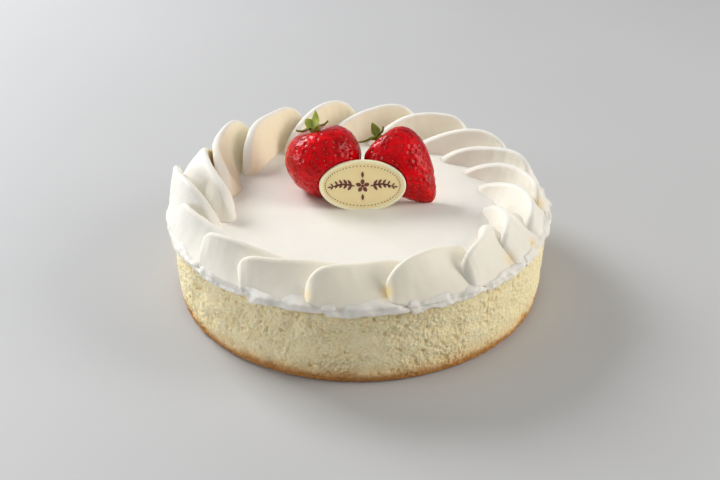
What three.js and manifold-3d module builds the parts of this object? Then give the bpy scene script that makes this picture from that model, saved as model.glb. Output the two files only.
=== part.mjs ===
// A round baked cheesecake with a smooth cream top, a ring of eighteen piped cream petals,
// two strawberries with green leaves and a small oval white chocolate plaque.
// Millimetres, +Z up. The origin is the centre of the flat underside, the plaque looks along -Y.

import * as THREE from 'three';
import { mergeVertices } from 'three/addons/utils/BufferGeometryUtils.js';
import Module from 'manifold-3d';

const wasm = await Module();
wasm.setup();

// Sizes of the cake body, an eight inch tin with the usual outward draft.
const CAKE_RADIUS = 101.5;
const CAKE_HEIGHT = 44.0;
const SIDE_STEPS = 92;

// Sizes of the cream that covers the top and hangs over the edge.
const CREAM_TOP = 47.0;
const CREAM_RADIUS = 104.0;
const CREAM_GAP = 0.3;
const CREAM_STEPS = 64;

// Sizes shared by the piped petals.
const PETAL_FOOT = CREAM_TOP + 0.3;
const PETAL_GAP = 0.3;
const PETAL_STEPS = 12;
const PETAL_ROWS = 5;
const PETAL_TOP_THICKNESS = 2.6;
const PETAL_LENGTH = 55;
const PETAL_RIM = 103.4;
const PETAL_SUNK = 2;
const PETAL_BULGE = 0.04;
const HEAD_ROUNDING = 3.5;
const TAIL_ROUNDING = 8;
const CURL_LENGTH = 0.24;
const TINY_STEP = 1e-4;
const LEAST_HEIGHT = 0.14;
const LEAST_WIDTH = 0.16;
const INNER_FLARE = 1.1;
const OUTER_FOOT = 14;
const FLARE_REACH = 1.12;

// Colours, one per material.
const COLOURS = {
  sponge: '#e6d59f',
  cream: '#f3ecdf',
  strawberry: '#b5121b',
  leaf: '#6f8f2a',
  chocolate: '#ead9a6',
};

function material(key, roughness) {
  const made = new THREE.MeshStandardMaterial({ color: COLOURS[key], roughness, metalness: 0 });
  made.name = key;
  made.side = THREE.FrontSide;
  return made;
}

const MATERIALS = {
  sponge: material('sponge', 0.9),
  cream: material('cream', 0.55),
  strawberry: material('strawberry', 0.2),
  leaf: material('leaf', 0.5),
  chocolate: material('chocolate', 0.45),
};

// Repeatable random numbers and a smooth noise that closes round the cake.
function randomSource(seed) {
  let state = seed >>> 0;
  return () => {
    state = (state + 0x6d2b79f5) >>> 0;
    let mixed = Math.imul(state ^ (state >>> 15), state | 1);
    mixed ^= mixed + Math.imul(mixed ^ (mixed >>> 7), mixed | 61);
    return ((mixed ^ (mixed >>> 14)) >>> 0) / 4294967296;
  };
}

function ringNoise(seed, columns, rows) {
  const random = randomSource(seed);
  const values = Array.from({ length: columns * rows }, () => random() * 2 - 1);
  const smooth = (t) => t * t * (3 - 2 * t);
  return (turn, height) => {
    const u = (((turn % 1) + 1) % 1) * columns;
    const v = Math.min(Math.max(height, 0), 0.9999) * (rows - 1);
    const column = Math.floor(u);
    const row = Math.floor(v);
    const next = (column + 1) % columns;
    const su = smooth(u - column);
    const sv = smooth(v - row);
    const low = values[row * columns + column % columns] * (1 - su) + values[row * columns + next] * su;
    const above = Math.min(row + 1, rows - 1) * columns;
    const high = values[above + column % columns] * (1 - su) + values[above + next] * su;
    return low * (1 - sv) + high * sv;
  };
}

function clamped(value) {
  return Math.min(1, Math.max(0, value));
}

function degrees(value) {
  return value * Math.PI / 180;
}

// Signed volume of a triangle list, used to turn every solid the right way out.
function signedVolume(points, triangles) {
  let total = 0;
  for (const [a, b, c] of triangles) {
    total += points[a].dot(points[b].clone().cross(points[c])) / 6;
  }
  return total;
}

function outward(solid) {
  if (signedVolume(solid.points, solid.triangles) < 0) {
    solid.triangles = solid.triangles.map(([a, b, c]) => [a, c, b]);
  }
  return solid;
}

// A closed solid of revolution with an uneven surface: rings of points between two end points.
function ringSolid(rings, bottom, top) {
  const count = rings[0].length;
  const points = rings.flat();
  const triangles = [];
  for (let row = 0; row + 1 < rings.length; row += 1) {
    for (let step = 0; step < count; step += 1) {
      const a = row * count + step;
      const b = row * count + (step + 1) % count;
      triangles.push([a, b, b + count], [a, b + count, a + count]);
    }
  }
  const low = points.length;
  points.push(bottom);
  const high = points.length;
  points.push(top);
  const last = (rings.length - 1) * count;
  for (let step = 0; step < count; step += 1) {
    triangles.push([low, (step + 1) % count, step]);
    triangles.push([high, last + step, last + (step + 1) % count]);
  }
  return outward({ points, triangles });
}

function toManifold(solid) {
  const vertProperties = new Float32Array(solid.points.length * 3);
  solid.points.forEach((point, index) => point.toArray(vertProperties, index * 3));
  const triVerts = new Uint32Array(solid.triangles.flat());
  return new wasm.Manifold(new wasm.Mesh({ numProp: 3, vertProperties, triVerts }));
}

function fromManifold(shape) {
  const mesh = shape.getMesh();
  const points = [];
  for (let index = 0; index < mesh.vertProperties.length; index += mesh.numProp) {
    const values = mesh.vertProperties;
    points.push(new THREE.Vector3(values[index], values[index + 1], values[index + 2]));
  }
  const triangles = [];
  for (let index = 0; index < mesh.triVerts.length; index += 3) {
    triangles.push([mesh.triVerts[index], mesh.triVerts[index + 1], mesh.triVerts[index + 2]]);
  }
  return { points, triangles };
}

// The biggest piece of a cut shape, so that no loose crumb is left beside it.
function biggest(shape) {
  const pieces = shape.decompose();
  pieces.sort((first, second) => second.volume() - first.volume());
  return pieces[0];
}

// A cutting block below the level `top`, wide enough for the whole cake.
function blockBelow(top) {
  const size = 3 * CAKE_RADIUS;
  const geometry = new THREE.BoxGeometry(size, size, CREAM_TOP).translate(0, 0, top - CREAM_TOP / 2);
  geometry.deleteAttribute('normal');
  geometry.deleteAttribute('uv');
  const merged = mergeVertices(geometry);
  const position = merged.getAttribute('position');
  const order = Array.from(merged.getIndex().array);
  const points = Array.from({ length: position.count }, (_, index) => (
    new THREE.Vector3().fromBufferAttribute(position, index)
  ));
  const triangles = Array.from({ length: order.length / 3 }, (_, index) => (
    order.slice(3 * index, 3 * index + 3)
  ));
  return toManifold({ points, triangles });
}

function addNode(group, name, solid, look) {
  const geometry = new THREE.BufferGeometry();
  const positions = new Float32Array(solid.points.length * 3);
  solid.points.forEach((point, index) => point.toArray(positions, index * 3));
  geometry.setAttribute('position', new THREE.BufferAttribute(positions, 3));
  geometry.setIndex(solid.triangles.flat());
  geometry.computeVertexNormals();
  const mesh = new THREE.Mesh(geometry, look.clone());
  mesh.name = name;
  group.add(mesh);
}

// The cake body: a low drum whose side is porous and cracked, with a flat underside.
const CRAG_DEPTH = 0.55;
const WAVE_DEPTH = 0.35;
const DENT_COUNT = 34;
const CRAG_NOISE = ringNoise(11, 56, 10);
const WAVE_NOISE = ringNoise(12, 9, 4);
const SIDE_PROFILE = [
  [0, 99.2], [1.3, 100.6], [4.4, 101.2], [8.4, 101.3], [12.4, 101.4], [16.6, 101.5], [20.8, 101.6],
  [25.0, 101.7], [29.2, 101.8], [33.4, 101.9], [37.4, 101.8], [40.6, 101.5], [42.8, 100.7], [44.0, 98.9],
];

function cragDents() {
  const random = randomSource(21);
  return Array.from({ length: DENT_COUNT }, () => ({
    turn: random(),
    height: 6 + 29 * random(),
    width: 3.2 + 2.6 * random(),
    depth: 0.7 + 1.1 * random(),
  }));
}

const DENTS = cragDents();

function cragDepth(turn, height) {
  let depth = 0;
  for (const dent of DENTS) {
    let along = Math.abs(turn - dent.turn);
    along = Math.min(along, 1 - along) * 2 * Math.PI * CAKE_RADIUS;
    const distance = Math.hypot(along, height - dent.height) / dent.width;
    depth += dent.depth * Math.exp(-distance * distance);
  }
  return depth;
}

function cakeRadiusAt(turn, height, base) {
  const calm = clamped((height - 0.6) / 4) * clamped((40.5 - height) / 5);
  const crags = CRAG_DEPTH * CRAG_NOISE(turn, height / CAKE_HEIGHT) * calm;
  const waves = WAVE_DEPTH * WAVE_NOISE(turn, height / CAKE_HEIGHT) * (0.35 + 0.65 * calm);
  return base + crags + waves - cragDepth(turn, height) * calm;
}

function cakeBody() {
  const rings = SIDE_PROFILE.map(([height, base], row) => {
    const shift = row % 2 === 0 ? 0 : 0.5;
    return Array.from({ length: SIDE_STEPS }, (_, step) => {
      const turn = (step + shift) / SIDE_STEPS;
      const radius = cakeRadiusAt(turn, height, base);
      const angle = turn * 2 * Math.PI;
      return new THREE.Vector3(radius * Math.cos(angle), radius * Math.sin(angle), height);
    });
  });
  return ringSolid(rings, new THREE.Vector3(0, 0, 0), new THREE.Vector3(0, 0, CAKE_HEIGHT));
}

// The cream: a smooth disc with a soft edge and a ragged skirt over the top of the side.
const SKIRT_NOISE = ringNoise(31, 42, 2);
const SKIRT_SWELL = ringNoise(32, 16, 2);
const SKIRT_LEVEL = 41.2;

function skirtEdge(turn) {
  return SKIRT_LEVEL + 1.4 * SKIRT_NOISE(turn, 0) + 0.9 * SKIRT_SWELL(turn, 0);
}

function creamLayer() {
  const rings = [];
  const ring = (place) => {
    rings.push(Array.from({ length: CREAM_STEPS }, (_, step) => {
      const turn = step / CREAM_STEPS;
      const [radius, height] = place(turn, skirtEdge(turn), 0.45 * SKIRT_SWELL(turn + 0.31, 0));
      const angle = turn * 2 * Math.PI;
      return new THREE.Vector3(radius * Math.cos(angle), radius * Math.sin(angle), height);
    }));
  };
  ring(() => [58, CAKE_HEIGHT + CREAM_GAP]);
  ring(() => [99.6, CAKE_HEIGHT + CREAM_GAP]);
  ring(() => [101.9, 43.6]);
  ring((turn, edge) => [102.5, edge + 0.4]);
  ring((turn, edge, swell) => [103.3 + 0.5 * swell, edge]);
  ring((turn, edge, swell) => [CREAM_RADIUS + 0.1 + swell, edge + 1.1]);
  ring((turn, edge, swell) => [CREAM_RADIUS + 0.2 + swell, 44.8]);
  ring((turn, edge, swell) => [103.0 + 0.7 * swell, 46.3]);
  ring(() => [100.6, CREAM_TOP]);
  ring(() => [78, CREAM_TOP]);
  ring(() => [40, CREAM_TOP]);
  const under = new THREE.Vector3(0, 0, CAKE_HEIGHT + CREAM_GAP);
  return ringSolid(rings, under, new THREE.Vector3(0, 0, CREAM_TOP));
}

// The piped petals. Each starts with a tall rounded head on the rim at the angle `start`,
// turns by `sweep` degrees while it runs inward, and sinks to a low tail on the disc. `curl` bends
// the head inward, and a larger `blunt` keeps the petal tall nearly to its end, like a tongue. The
// outer face spreads to the rim as far along as `free`, and is more upright with more `hollow`.
// The usual values come first, and each petal names only those in which it differs.
const USUAL_PETAL = {
  sweep: 38, rim: 98, tail: 70, height: 15, lean: 3, leanTail: 3,
  foot: 16, bend: 1.25, crest: 0.27, blunt: 1.8, curl: 1, hollow: 1.5, free: 0.95,
};
const PETALS = [
  {
    start: 173, sweep: 33, rim: 99, tail: 80, height: 23, lean: -8, leanTail: 0, foot: 12,
    blunt: 2.6, curl: 2,
  },
  {
    start: 157, sweep: 41, rim: 95, height: 23, lean: 4, foot: 14, bend: 1.1,
    blunt: 4, curl: 9, hollow: 1, free: 0.8,
  },
  {
    start: 134, sweep: 42, rim: 94, tail: 71, height: 23.5, lean: 2, leanTail: -6, foot: 24,
    bend: 1.9, blunt: 4, curl: 4, hollow: 3.5, free: 0.7,
  },
  {
    start: 111, sweep: 43, rim: 94, tail: 71, height: 23, lean: 0, leanTail: -2, foot: 18,
    blunt: 3.2, curl: 3, hollow: 3, free: 0.7,
  },
  { start: 90, sweep: 37, rim: 95, tail: 71, height: 22, blunt: 2.2, hollow: 2 },
  { start: 66, sweep: 42, rim: 95, height: 20, crest: 0.32 },
  { start: 45, sweep: 40, rim: 96, height: 20, crest: 0.3 },
  { start: 25, rim: 97, height: 17, lean: 2 },
  { start: 8, tail: 69, height: 15.5, lean: 0, foot: 15 },
  { start: 351, rim: 98.5, tail: 69, lean: 0, foot: 15 },
  { start: 334, rim: 96, tail: 69, lean: -12 },
  { start: 317, sweep: 34, rim: 96, tail: 69, lean: 4, leanTail: 5, foot: 15 },
  { start: 300, sweep: 34, tail: 72, height: 17, lean: 6, leanTail: 5, foot: 13 },
  { start: 277, sweep: 37, rim: 97, tail: 73, height: 18, lean: 8, leanTail: 5, foot: 13 },
  { start: 254.5, sweep: 35, height: 15.5, lean: 6, leanTail: 5, foot: 12, crest: 0.23 },
  { start: 232, sweep: 36, height: 14, lean: 6, leanTail: 5, foot: 12, crest: 0.21 },
  { start: 215, sweep: 34, tail: 74, height: 16, lean: 8, leanTail: 5, foot: 12, crest: 0.17 },
  { start: 193, sweep: 35, tail: 76, lean: 2, leanTail: 5, foot: 14, crest: 0.2 },
].map((own) => ({ ...USUAL_PETAL, ...own }));

function petalPlan(petal, along) {
  const angle = degrees(petal.start + petal.sweep * along);
  const curled = petal.curl * clamped(1 - along / CURL_LENGTH) ** 2;
  const radius = petal.rim + (petal.tail - petal.rim) * along ** petal.bend - curled;
  return new THREE.Vector2(radius * Math.cos(angle), radius * Math.sin(angle));
}

function petalHeight(petal, along) {
  const past = clamped((along - petal.crest) / (1 - petal.crest));
  const head = (1 - Math.max(0, 1 - along / petal.crest) ** 2.4) ** (1 / 2.4);
  const fall = (1 - past ** petal.blunt) ** (1 - 0.1 * petal.blunt);
  return petal.height * Math.max(along < petal.crest ? head : fall, LEAST_HEIGHT);
}

// How far the foot of a petal spreads outward to reach the rim, fading out along the tail.
function petalFlare(petal, radius, along) {
  const fade = clamped((petal.free - along) / 0.4);
  return (PETAL_RIM - radius) * FLARE_REACH * fade * fade * (3 - 2 * fade);
}

function roundEnd(distance) {
  return Math.sqrt(1 - (1 - clamped(distance)) ** 2);
}

// The two sides of a petal's section from its foot to its top, at one place along it.
function petalSection(petal, along, radius, grow) {
  const height = petalHeight(petal, along);
  const tilt = degrees(petal.lean + (petal.leanTail - petal.lean) * along);
  const headEnd = roundEnd(along * PETAL_LENGTH / HEAD_ROUNDING);
  const tailEnd = roundEnd((1 - along) * PETAL_LENGTH / TAIL_ROUNDING);
  const ends = Math.max(headEnd * tailEnd, LEAST_WIDTH);
  const lowPart = ends * (0.62 + 0.38 * height / petal.height);
  const footHalf = 0.5 * petal.foot * lowPart;
  const spread = Math.max(0.5 * OUTER_FOOT * lowPart, petalFlare(petal, radius, along) * headEnd);
  const topHalf = 0.5 * PETAL_TOP_THICKNESS * ends * (1 + 0.9 * along ** 2);
  const capStart = Math.max(0, 1 - 0.5 * PETAL_TOP_THICKNESS / height);
  const rows = [];
  for (let row = 0; row < PETAL_ROWS; row += 1) {
    const isTop = row + 1 === PETAL_ROWS;
    const up = 1 - (1 - row / (PETAL_ROWS - 1)) ** 1.5;
    const cap = Math.sqrt(1 - clamped((up - capStart) / (1 - capStart)) ** 2);
    const swell = isTop ? 0 : grow;
    const inner = (topHalf + (footHalf - topHalf) * (1 - up) ** INNER_FLARE) * cap + swell;
    const outer = (topHalf + (spread - topHalf) * (1 - up) ** petal.hollow) * cap + swell;
    const inward = height * (up * Math.sin(tilt) - PETAL_BULGE * Math.sin(Math.PI * up));
    const rise = height * up * Math.cos(tilt) - PETAL_SUNK * (1 - up);
    const level = CREAM_TOP + rise + (isTop ? grow : 0);
    rows.push({ inner, outer, inward, level, tilt });
  }
  return rows;
}

// One petal as a loft of upright sections. `grow` swells it evenly for cutting its neighbour.
function petalSolid(petal, grow) {
  const loop = 2 * PETAL_ROWS - 1;
  const points = [];
  for (let index = 0; index < PETAL_STEPS; index += 1) {
    const even = index / (PETAL_STEPS - 1);
    const eased = 0.5 - 0.5 * Math.cos(Math.PI * even);
    const along = 0.5 * eased + 0.5 * even ** 1.2;
    const centre = petalPlan(petal, along);
    const before = petalPlan(petal, Math.max(0, along - TINY_STEP));
    const after = petalPlan(petal, Math.min(1, along + TINY_STEP));
    const travel = after.sub(before).normalize();
    const out = new THREE.Vector2(travel.y, -travel.x);
    const shift = index === 0 ? -grow : index === PETAL_STEPS - 1 ? grow : 0;
    const section = petalSection(petal, along, centre.length(), grow);
    const place = (row, side) => {
      const { inner, outer, inward, level, tilt } = section[row];
      const half = side > 0 ? outer : inner;
      const across = -inward + side * half * Math.cos(tilt);
      return new THREE.Vector3(
        centre.x + travel.x * shift + out.x * across,
        centre.y + travel.y * shift + out.y * across,
        level + side * half * Math.sin(tilt),
      );
    };
    for (let row = 0; row < PETAL_ROWS; row += 1) points.push(place(row, 1));
    for (let row = PETAL_ROWS - 2; row >= 0; row -= 1) points.push(place(row, -1));
  }
  const triangles = [];
  for (let index = 0; index + 1 < PETAL_STEPS; index += 1) {
    for (let corner = 0; corner < loop; corner += 1) {
      const a = index * loop + corner;
      const b = index * loop + (corner + 1) % loop;
      triangles.push([a, a + loop, b + loop], [a, b + loop, b]);
    }
  }
  const last = (PETAL_STEPS - 1) * loop;
  for (let row = 0; row < PETAL_ROWS - 2; row += 1) {
    const a = row;
    const b = loop - 1 - row;
    triangles.push([a, a + 1, b], [a + 1, b - 1, b]);
    triangles.push([last + a, last + b, last + a + 1], [last + a + 1, last + b, last + b - 1]);
  }
  const nearTop = PETAL_ROWS - 2;
  triangles.push([nearTop, nearTop + 1, nearTop + 2]);
  triangles.push([last + nearTop, last + nearTop + 2, last + nearTop + 1]);
  return outward({ points, triangles });
}

// Every petal stands on the cream and is cut where the next head lies over its side.
function cutPetals() {
  const below = blockBelow(PETAL_FOOT);
  return PETALS.map((petal, index) => {
    const neighbour = PETALS[(index + PETALS.length - 1) % PETALS.length];
    const whole = toManifold(petalSolid(petal, 0));
    const over = toManifold(petalSolid(neighbour, PETAL_GAP));
    return fromManifold(biggest(whole.subtract(over).subtract(below)));
  });
}

// The strawberries: fat cones with a staggered net of seed dimples. A larger `cone` draws the tip
// out, and the crown sinks in round the leaves.
const BERRY_WAIST = 0.82;
const BERRY_FULLNESS = 0.92;
const CROWN_DEPTH = 2.4;
const CROWN_SPREAD = 0.12;
const PIT_DEPTH = 0.55;
const PIT_VARIES = 0.25;

function frameAlong(direction, toward) {
  const axis = direction.clone().normalize();
  const front = toward.clone().addScaledVector(axis, -toward.dot(axis)).normalize();
  return new THREE.Matrix4().makeBasis(front, axis.clone().cross(front), axis);
}

function strawberrySolid({ length, radius, cone, flat, columns, rows, seed, centre, axis, front }) {
  const random = randomSource(seed);
  const rings = [];
  const spin = frameAlong(axis, front);
  const place = (turn, polar, dimple) => {
    const shape = (BERRY_WAIST - cone * Math.cos(polar)) / (BERRY_WAIST + cone * 0.45);
    const wobble = 1 + 0.025 * Math.sin(2 * turn + seed) + 0.015 * Math.sin(3 * turn + 2 * seed);
    const full = radius * Math.sin(polar) ** BERRY_FULLNESS * shape * wobble;
    const reach = full - dimple * Math.sin(polar);
    const crown = CROWN_DEPTH * Math.exp(-((Math.PI - polar) ** 2) / CROWN_SPREAD);
    const level = -0.5 * length * Math.cos(polar) - crown;
    const point = new THREE.Vector3(reach * Math.cos(turn) * flat, reach * Math.sin(turn), level);
    return point.applyMatrix4(spin).add(centre);
  };
  for (let row = 1; row < rows; row += 1) {
    const polar = Math.PI * (row / rows) ** 0.95;
    rings.push(Array.from({ length: columns }, (_, step) => {
      const turn = (step + 0.5 * (row % 2)) / columns * 2 * Math.PI;
      const staggered = row % 4 < 2 ? step : step + 1;
      const isPit = row > 2 && row < rows - 2 && row % 2 === 0 && staggered % 2 === 0;
      return place(turn, polar, isPit ? PIT_DEPTH + PIT_VARIES * random() : 0);
    }));
  }
  return ringSolid(rings, place(0, 0, 0), place(0, Math.PI, 0));
}

const WHOLE_BERRY = {
  length: 40.5, radius: 21.6, cone: 0.1, flat: 1, columns: 28, rows: 18, seed: 5,
  centre: new THREE.Vector3(-19.2, 14.2, 64.2),
  axis: new THREE.Vector3(-0.25, 0.25, 0.93),
  front: new THREE.Vector3(0, -1, 0),
};
const HALF_BERRY = {
  length: 47.1, radius: 19.6, cone: 0.36, flat: 0.8, columns: 28, rows: 18, seed: 8,
  centre: new THREE.Vector3(25.3, 7.9, 62.5),
  axis: new THREE.Vector3(-28.5, 19.6, 28.3),
  front: new THREE.Vector3(-0.1, -0.86, 0.5),
};

const FRUIT_GAP = 0.3;
const CALYX_LIFT = 0.35;

// The oval plaque: a thin slab with a raised rim that leans back against the fruit.
const PLAQUE = {
  width: 47, height: 28.4, thickness: 3, rim: 1.5, relief: 0.5, lean: 16, x: 2, y: -10.8, sink: 1,
};
const PLAQUE_STEPS = 48;

function plaqueSolid(grow) {
  const tilt = degrees(PLAQUE.lean);
  const across = new THREE.Vector3(1, 0, 0);
  const up = new THREE.Vector3(0, Math.sin(tilt), Math.cos(tilt));
  const back = new THREE.Vector3(0, Math.cos(tilt), -Math.sin(tilt));
  const foot = new THREE.Vector3(PLAQUE.x, PLAQUE.y, CREAM_TOP - PLAQUE.sink);
  const middle = foot.clone().addScaledVector(up, PLAQUE.height / 2);
  const at = (angle, inset, depth) => middle.clone()
    .addScaledVector(across, (PLAQUE.width / 2 - inset + grow) * Math.cos(angle))
    .addScaledVector(up, (PLAQUE.height / 2 - inset + grow) * Math.sin(angle))
    .addScaledVector(back, depth);
  const ring = (inset, depth) => Array.from({ length: PLAQUE_STEPS }, (_, step) => (
    at(step / PLAQUE_STEPS * 2 * Math.PI, inset, depth)
  ));
  const thick = PLAQUE.thickness + grow;
  const rings = [
    ring(0.5, thick), ring(0, thick - 0.5), ring(0, 0.5 - grow), ring(0.4, -grow),
    ring(PLAQUE.rim, -grow), ring(PLAQUE.rim + 0.5, PLAQUE.relief - grow),
  ];
  const rear = middle.clone().addScaledVector(back, thick);
  const front = middle.clone().addScaledVector(back, PLAQUE.relief - grow);
  return ringSolid(rings, rear, front);
}

// A green leaflet: a thin blade with a round tip and a wave, both faces split into triangles alike.
const LEAF_LONG = 5;
const LEAF_WIDE = 3;
const LEAF_STALK = 0.32;
const LEAF_TIP = 0.25;
const LEAF_THICKNESS = 0.9;
const HUB_HEIGHT = 1.5;

function leafletSolid({ length, width, curl, wave, turn, rise, twist = 0, thickness, base }) {
  const faces = [1, -1].map((side) => {
    const rows = [];
    for (let i = 0; i < LEAF_LONG; i += 1) {
      const along = i / (LEAF_LONG - 1);
      const belly = Math.sin(Math.PI * (0.15 + 0.8 * along));
      const spread = width * 0.5 * (LEAF_STALK + (1 - LEAF_STALK) * belly);
      const reach = Math.max(spread * (1 - along ** 5) ** 0.6, LEAF_TIP);
      for (let j = 0; j < LEAF_WIDE; j += 1) {
        const over = j / (LEAF_WIDE - 1) * 2 - 1;
        const bend = rise + curl * along;
        const x = length * along * Math.cos(bend);
        const fold = wave * Math.sin(2.2 * Math.PI * along) + 0.18 * width * Math.abs(over);
        const z = length * along * Math.sin(bend) + fold;
        const half = 0.5 * thickness * (1 - 0.35 * Math.abs(over));
        const aside = side * half;
        rows.push(new THREE.Vector3(x - aside * Math.sin(bend), over * reach, z + aside * Math.cos(bend)));
      }
    }
    return rows;
  });
  const count = faces[0].length;
  const lengthwise = new THREE.Vector3(Math.cos(rise), 0, Math.sin(rise));
  const points = [...faces[0], ...faces[1]].map((point) => (
    point.applyAxisAngle(lengthwise, twist).applyAxisAngle(new THREE.Vector3(0, 0, 1), turn).add(base)
  ));
  const triangles = [];
  for (let i = 0; i + 1 < LEAF_LONG; i += 1) {
    for (let j = 0; j + 1 < LEAF_WIDE; j += 1) {
      const a = i * LEAF_WIDE + j;
      const b = a + LEAF_WIDE;
      triangles.push([a, b, b + 1], [a, b + 1, a + 1]);
      triangles.push([count + a, count + b + 1, count + b], [count + a, count + a + 1, count + b + 1]);
    }
  }
  const border = [];
  for (let i = 0; i < LEAF_LONG - 1; i += 1) border.push(i * LEAF_WIDE);
  for (let j = 0; j < LEAF_WIDE - 1; j += 1) border.push((LEAF_LONG - 1) * LEAF_WIDE + j);
  for (let i = LEAF_LONG - 1; i > 0; i -= 1) border.push(i * LEAF_WIDE + LEAF_WIDE - 1);
  for (let j = LEAF_WIDE - 1; j > 0; j -= 1) border.push(j);
  border.forEach((a, index) => {
    const b = border[(index + 1) % border.length];
    triangles.push([a, count + a, count + b], [a, count + b, b]);
  });
  return outward({ points, triangles });
}

function hubSolid(radius, height) {
  const ring = (reach, level) => Array.from({ length: 12 }, (_, step) => {
    const angle = step / 12 * 2 * Math.PI;
    return new THREE.Vector3(reach * Math.cos(angle), reach * Math.sin(angle), level);
  });
  const rings = [ring(radius * 0.8, 0), ring(radius, height * 0.45), ring(radius * 0.55, height)];
  return ringSolid(rings, new THREE.Vector3(0, 0, 0), new THREE.Vector3(0, 0, height * 1.15));
}

function calyxSolid({ leaflets, hub, seat, axis, front: toward }) {
  let shape = toManifold(hubSolid(hub, HUB_HEIGHT));
  for (const leaflet of leaflets) {
    const base = new THREE.Vector3(0, 0, HUB_HEIGHT / 2);
    const blade = { thickness: LEAF_THICKNESS, base, ...leaflet };
    shape = shape.add(toManifold(leafletSolid(blade)));
  }
  const solid = fromManifold(biggest(shape));
  const spin = frameAlong(axis, toward);
  solid.points = solid.points.map((point) => point.applyMatrix4(spin).add(seat));
  return solid;
}

const WHOLE_LEAFLETS = [
  { length: 9.4, width: 4.8, turn: degrees(112), rise: 1.12, twist: 0.7, curl: 0.2, wave: 0.3 },
  { length: 6.8, width: 5.0, turn: degrees(245), rise: 0.85, twist: -0.7, curl: 0.3, wave: -0.3 },
  { length: 10.0, width: 4.6, turn: degrees(20), rise: 0.1, curl: 0.1, wave: 0.5 },
  { length: 10.5, width: 4.4, turn: degrees(290), rise: 0.06, curl: 0.1, wave: 0.5 },
  { length: 9.5, width: 4.4, turn: degrees(180), rise: 0.2, curl: 0.15, wave: 0.5 },
  { length: 9.0, width: 4.0, turn: degrees(78), rise: 0.15, curl: 0.1, wave: 0.4 },
];
const HALF_LEAFLETS = [
  { length: 8.2, width: 5.0, turn: degrees(100), rise: 1.2, twist: 1.1, curl: 0.2, wave: 0.3 },
  { length: 11.0, width: 2.8, turn: degrees(275), rise: 0.55, twist: 0.3, curl: -0.1, wave: 0.5 },
  { length: 7.5, width: 3.4, turn: degrees(60), rise: 0.2, curl: 0.1, wave: 0.4 },
  { length: 7.5, width: 3.4, turn: degrees(330), rise: 0.12, curl: 0.1, wave: 0.4 },
];

function berrySeat(berry) {
  const axis = berry.axis.clone().normalize();
  return berry.centre.clone().addScaledVector(axis, berry.length / 2 - CROWN_DEPTH + CALYX_LIFT);
}

// All the parts together, one named mesh each.
function build() {
  const group = new THREE.Group();
  group.name = 'baked_cheesecake';
  addNode(group, 'cheesecake', cakeBody(), MATERIALS.sponge);
  addNode(group, 'cream_layer', creamLayer(), MATERIALS.cream);
  cutPetals().forEach((solid, index) => {
    addNode(group, `petal_${String(index + 1).padStart(2, '0')}`, solid, MATERIALS.cream);
  });

  const below = blockBelow(PETAL_FOOT);
  const plaqueRoom = toManifold(plaqueSolid(FRUIT_GAP));
  const whole = toManifold(strawberrySolid(WHOLE_BERRY)).subtract(below).subtract(plaqueRoom);
  const wholeCalyx = calyxSolid({
    ...WHOLE_BERRY, leaflets: WHOLE_LEAFLETS, hub: 3.4, seat: berrySeat(WHOLE_BERRY),
  });
  addNode(group, 'strawberry_whole', fromManifold(biggest(whole)), MATERIALS.strawberry);
  addNode(group, 'strawberry_whole_calyx', wholeCalyx, MATERIALS.leaf);

  const halfFront = HALF_BERRY.front.clone().normalize();
  const beside = toManifold(strawberrySolid({ ...WHOLE_BERRY, radius: WHOLE_BERRY.radius + FRUIT_GAP }));
  const half = toManifold(strawberrySolid(HALF_BERRY))
    .trimByPlane(halfFront.toArray(), halfFront.dot(HALF_BERRY.centre))
    .subtract(below)
    .subtract(plaqueRoom)
    .subtract(beside);
  const halfCalyx = calyxSolid({
    ...HALF_BERRY, leaflets: HALF_LEAFLETS, hub: 2.8, seat: berrySeat(HALF_BERRY),
  });
  addNode(group, 'strawberry_half', fromManifold(biggest(half)), MATERIALS.strawberry);
  addNode(group, 'strawberry_half_calyx', halfCalyx, MATERIALS.leaf);

  const plaque = toManifold(plaqueSolid(0)).subtract(below);
  addNode(group, 'plaque', fromManifold(biggest(plaque)), MATERIALS.chocolate);
  return group;
}

export default build();
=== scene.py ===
# %% [markdown]
# # A baked cheesecake, piece by piece
# The cake is a low pale drum with a porous side, a smooth layer of whipped cream that hangs
# raggedly over its edge, a ring of eighteen piped cream petals, two strawberries and a small oval
# plaque of white chocolate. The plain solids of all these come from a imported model, and each is
# replaced here by a finer mesh in the same place. The file is read from top to bottom, like a
# notebook: first the helpers, then one piece after another, then the light and the camera.

# %% Load the plain solids
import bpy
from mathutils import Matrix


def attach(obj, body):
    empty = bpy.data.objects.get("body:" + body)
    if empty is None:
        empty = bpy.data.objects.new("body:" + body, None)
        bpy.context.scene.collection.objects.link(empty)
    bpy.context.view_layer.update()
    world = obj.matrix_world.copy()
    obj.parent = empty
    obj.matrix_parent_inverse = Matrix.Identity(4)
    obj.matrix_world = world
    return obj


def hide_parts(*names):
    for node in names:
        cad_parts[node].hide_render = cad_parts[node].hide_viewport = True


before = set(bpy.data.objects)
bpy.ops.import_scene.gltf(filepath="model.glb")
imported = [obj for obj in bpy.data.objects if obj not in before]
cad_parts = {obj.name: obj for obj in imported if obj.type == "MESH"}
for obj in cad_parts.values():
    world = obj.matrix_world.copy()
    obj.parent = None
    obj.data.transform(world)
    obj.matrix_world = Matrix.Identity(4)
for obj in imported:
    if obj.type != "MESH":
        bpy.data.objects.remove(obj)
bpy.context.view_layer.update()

# %% The tools
import math
import random

import bmesh
import bpy
import numpy as np
from mathutils import Matrix, Vector, kdtree, noise

MM = 0.001
FULL_TURN = 2 * math.pi

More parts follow.
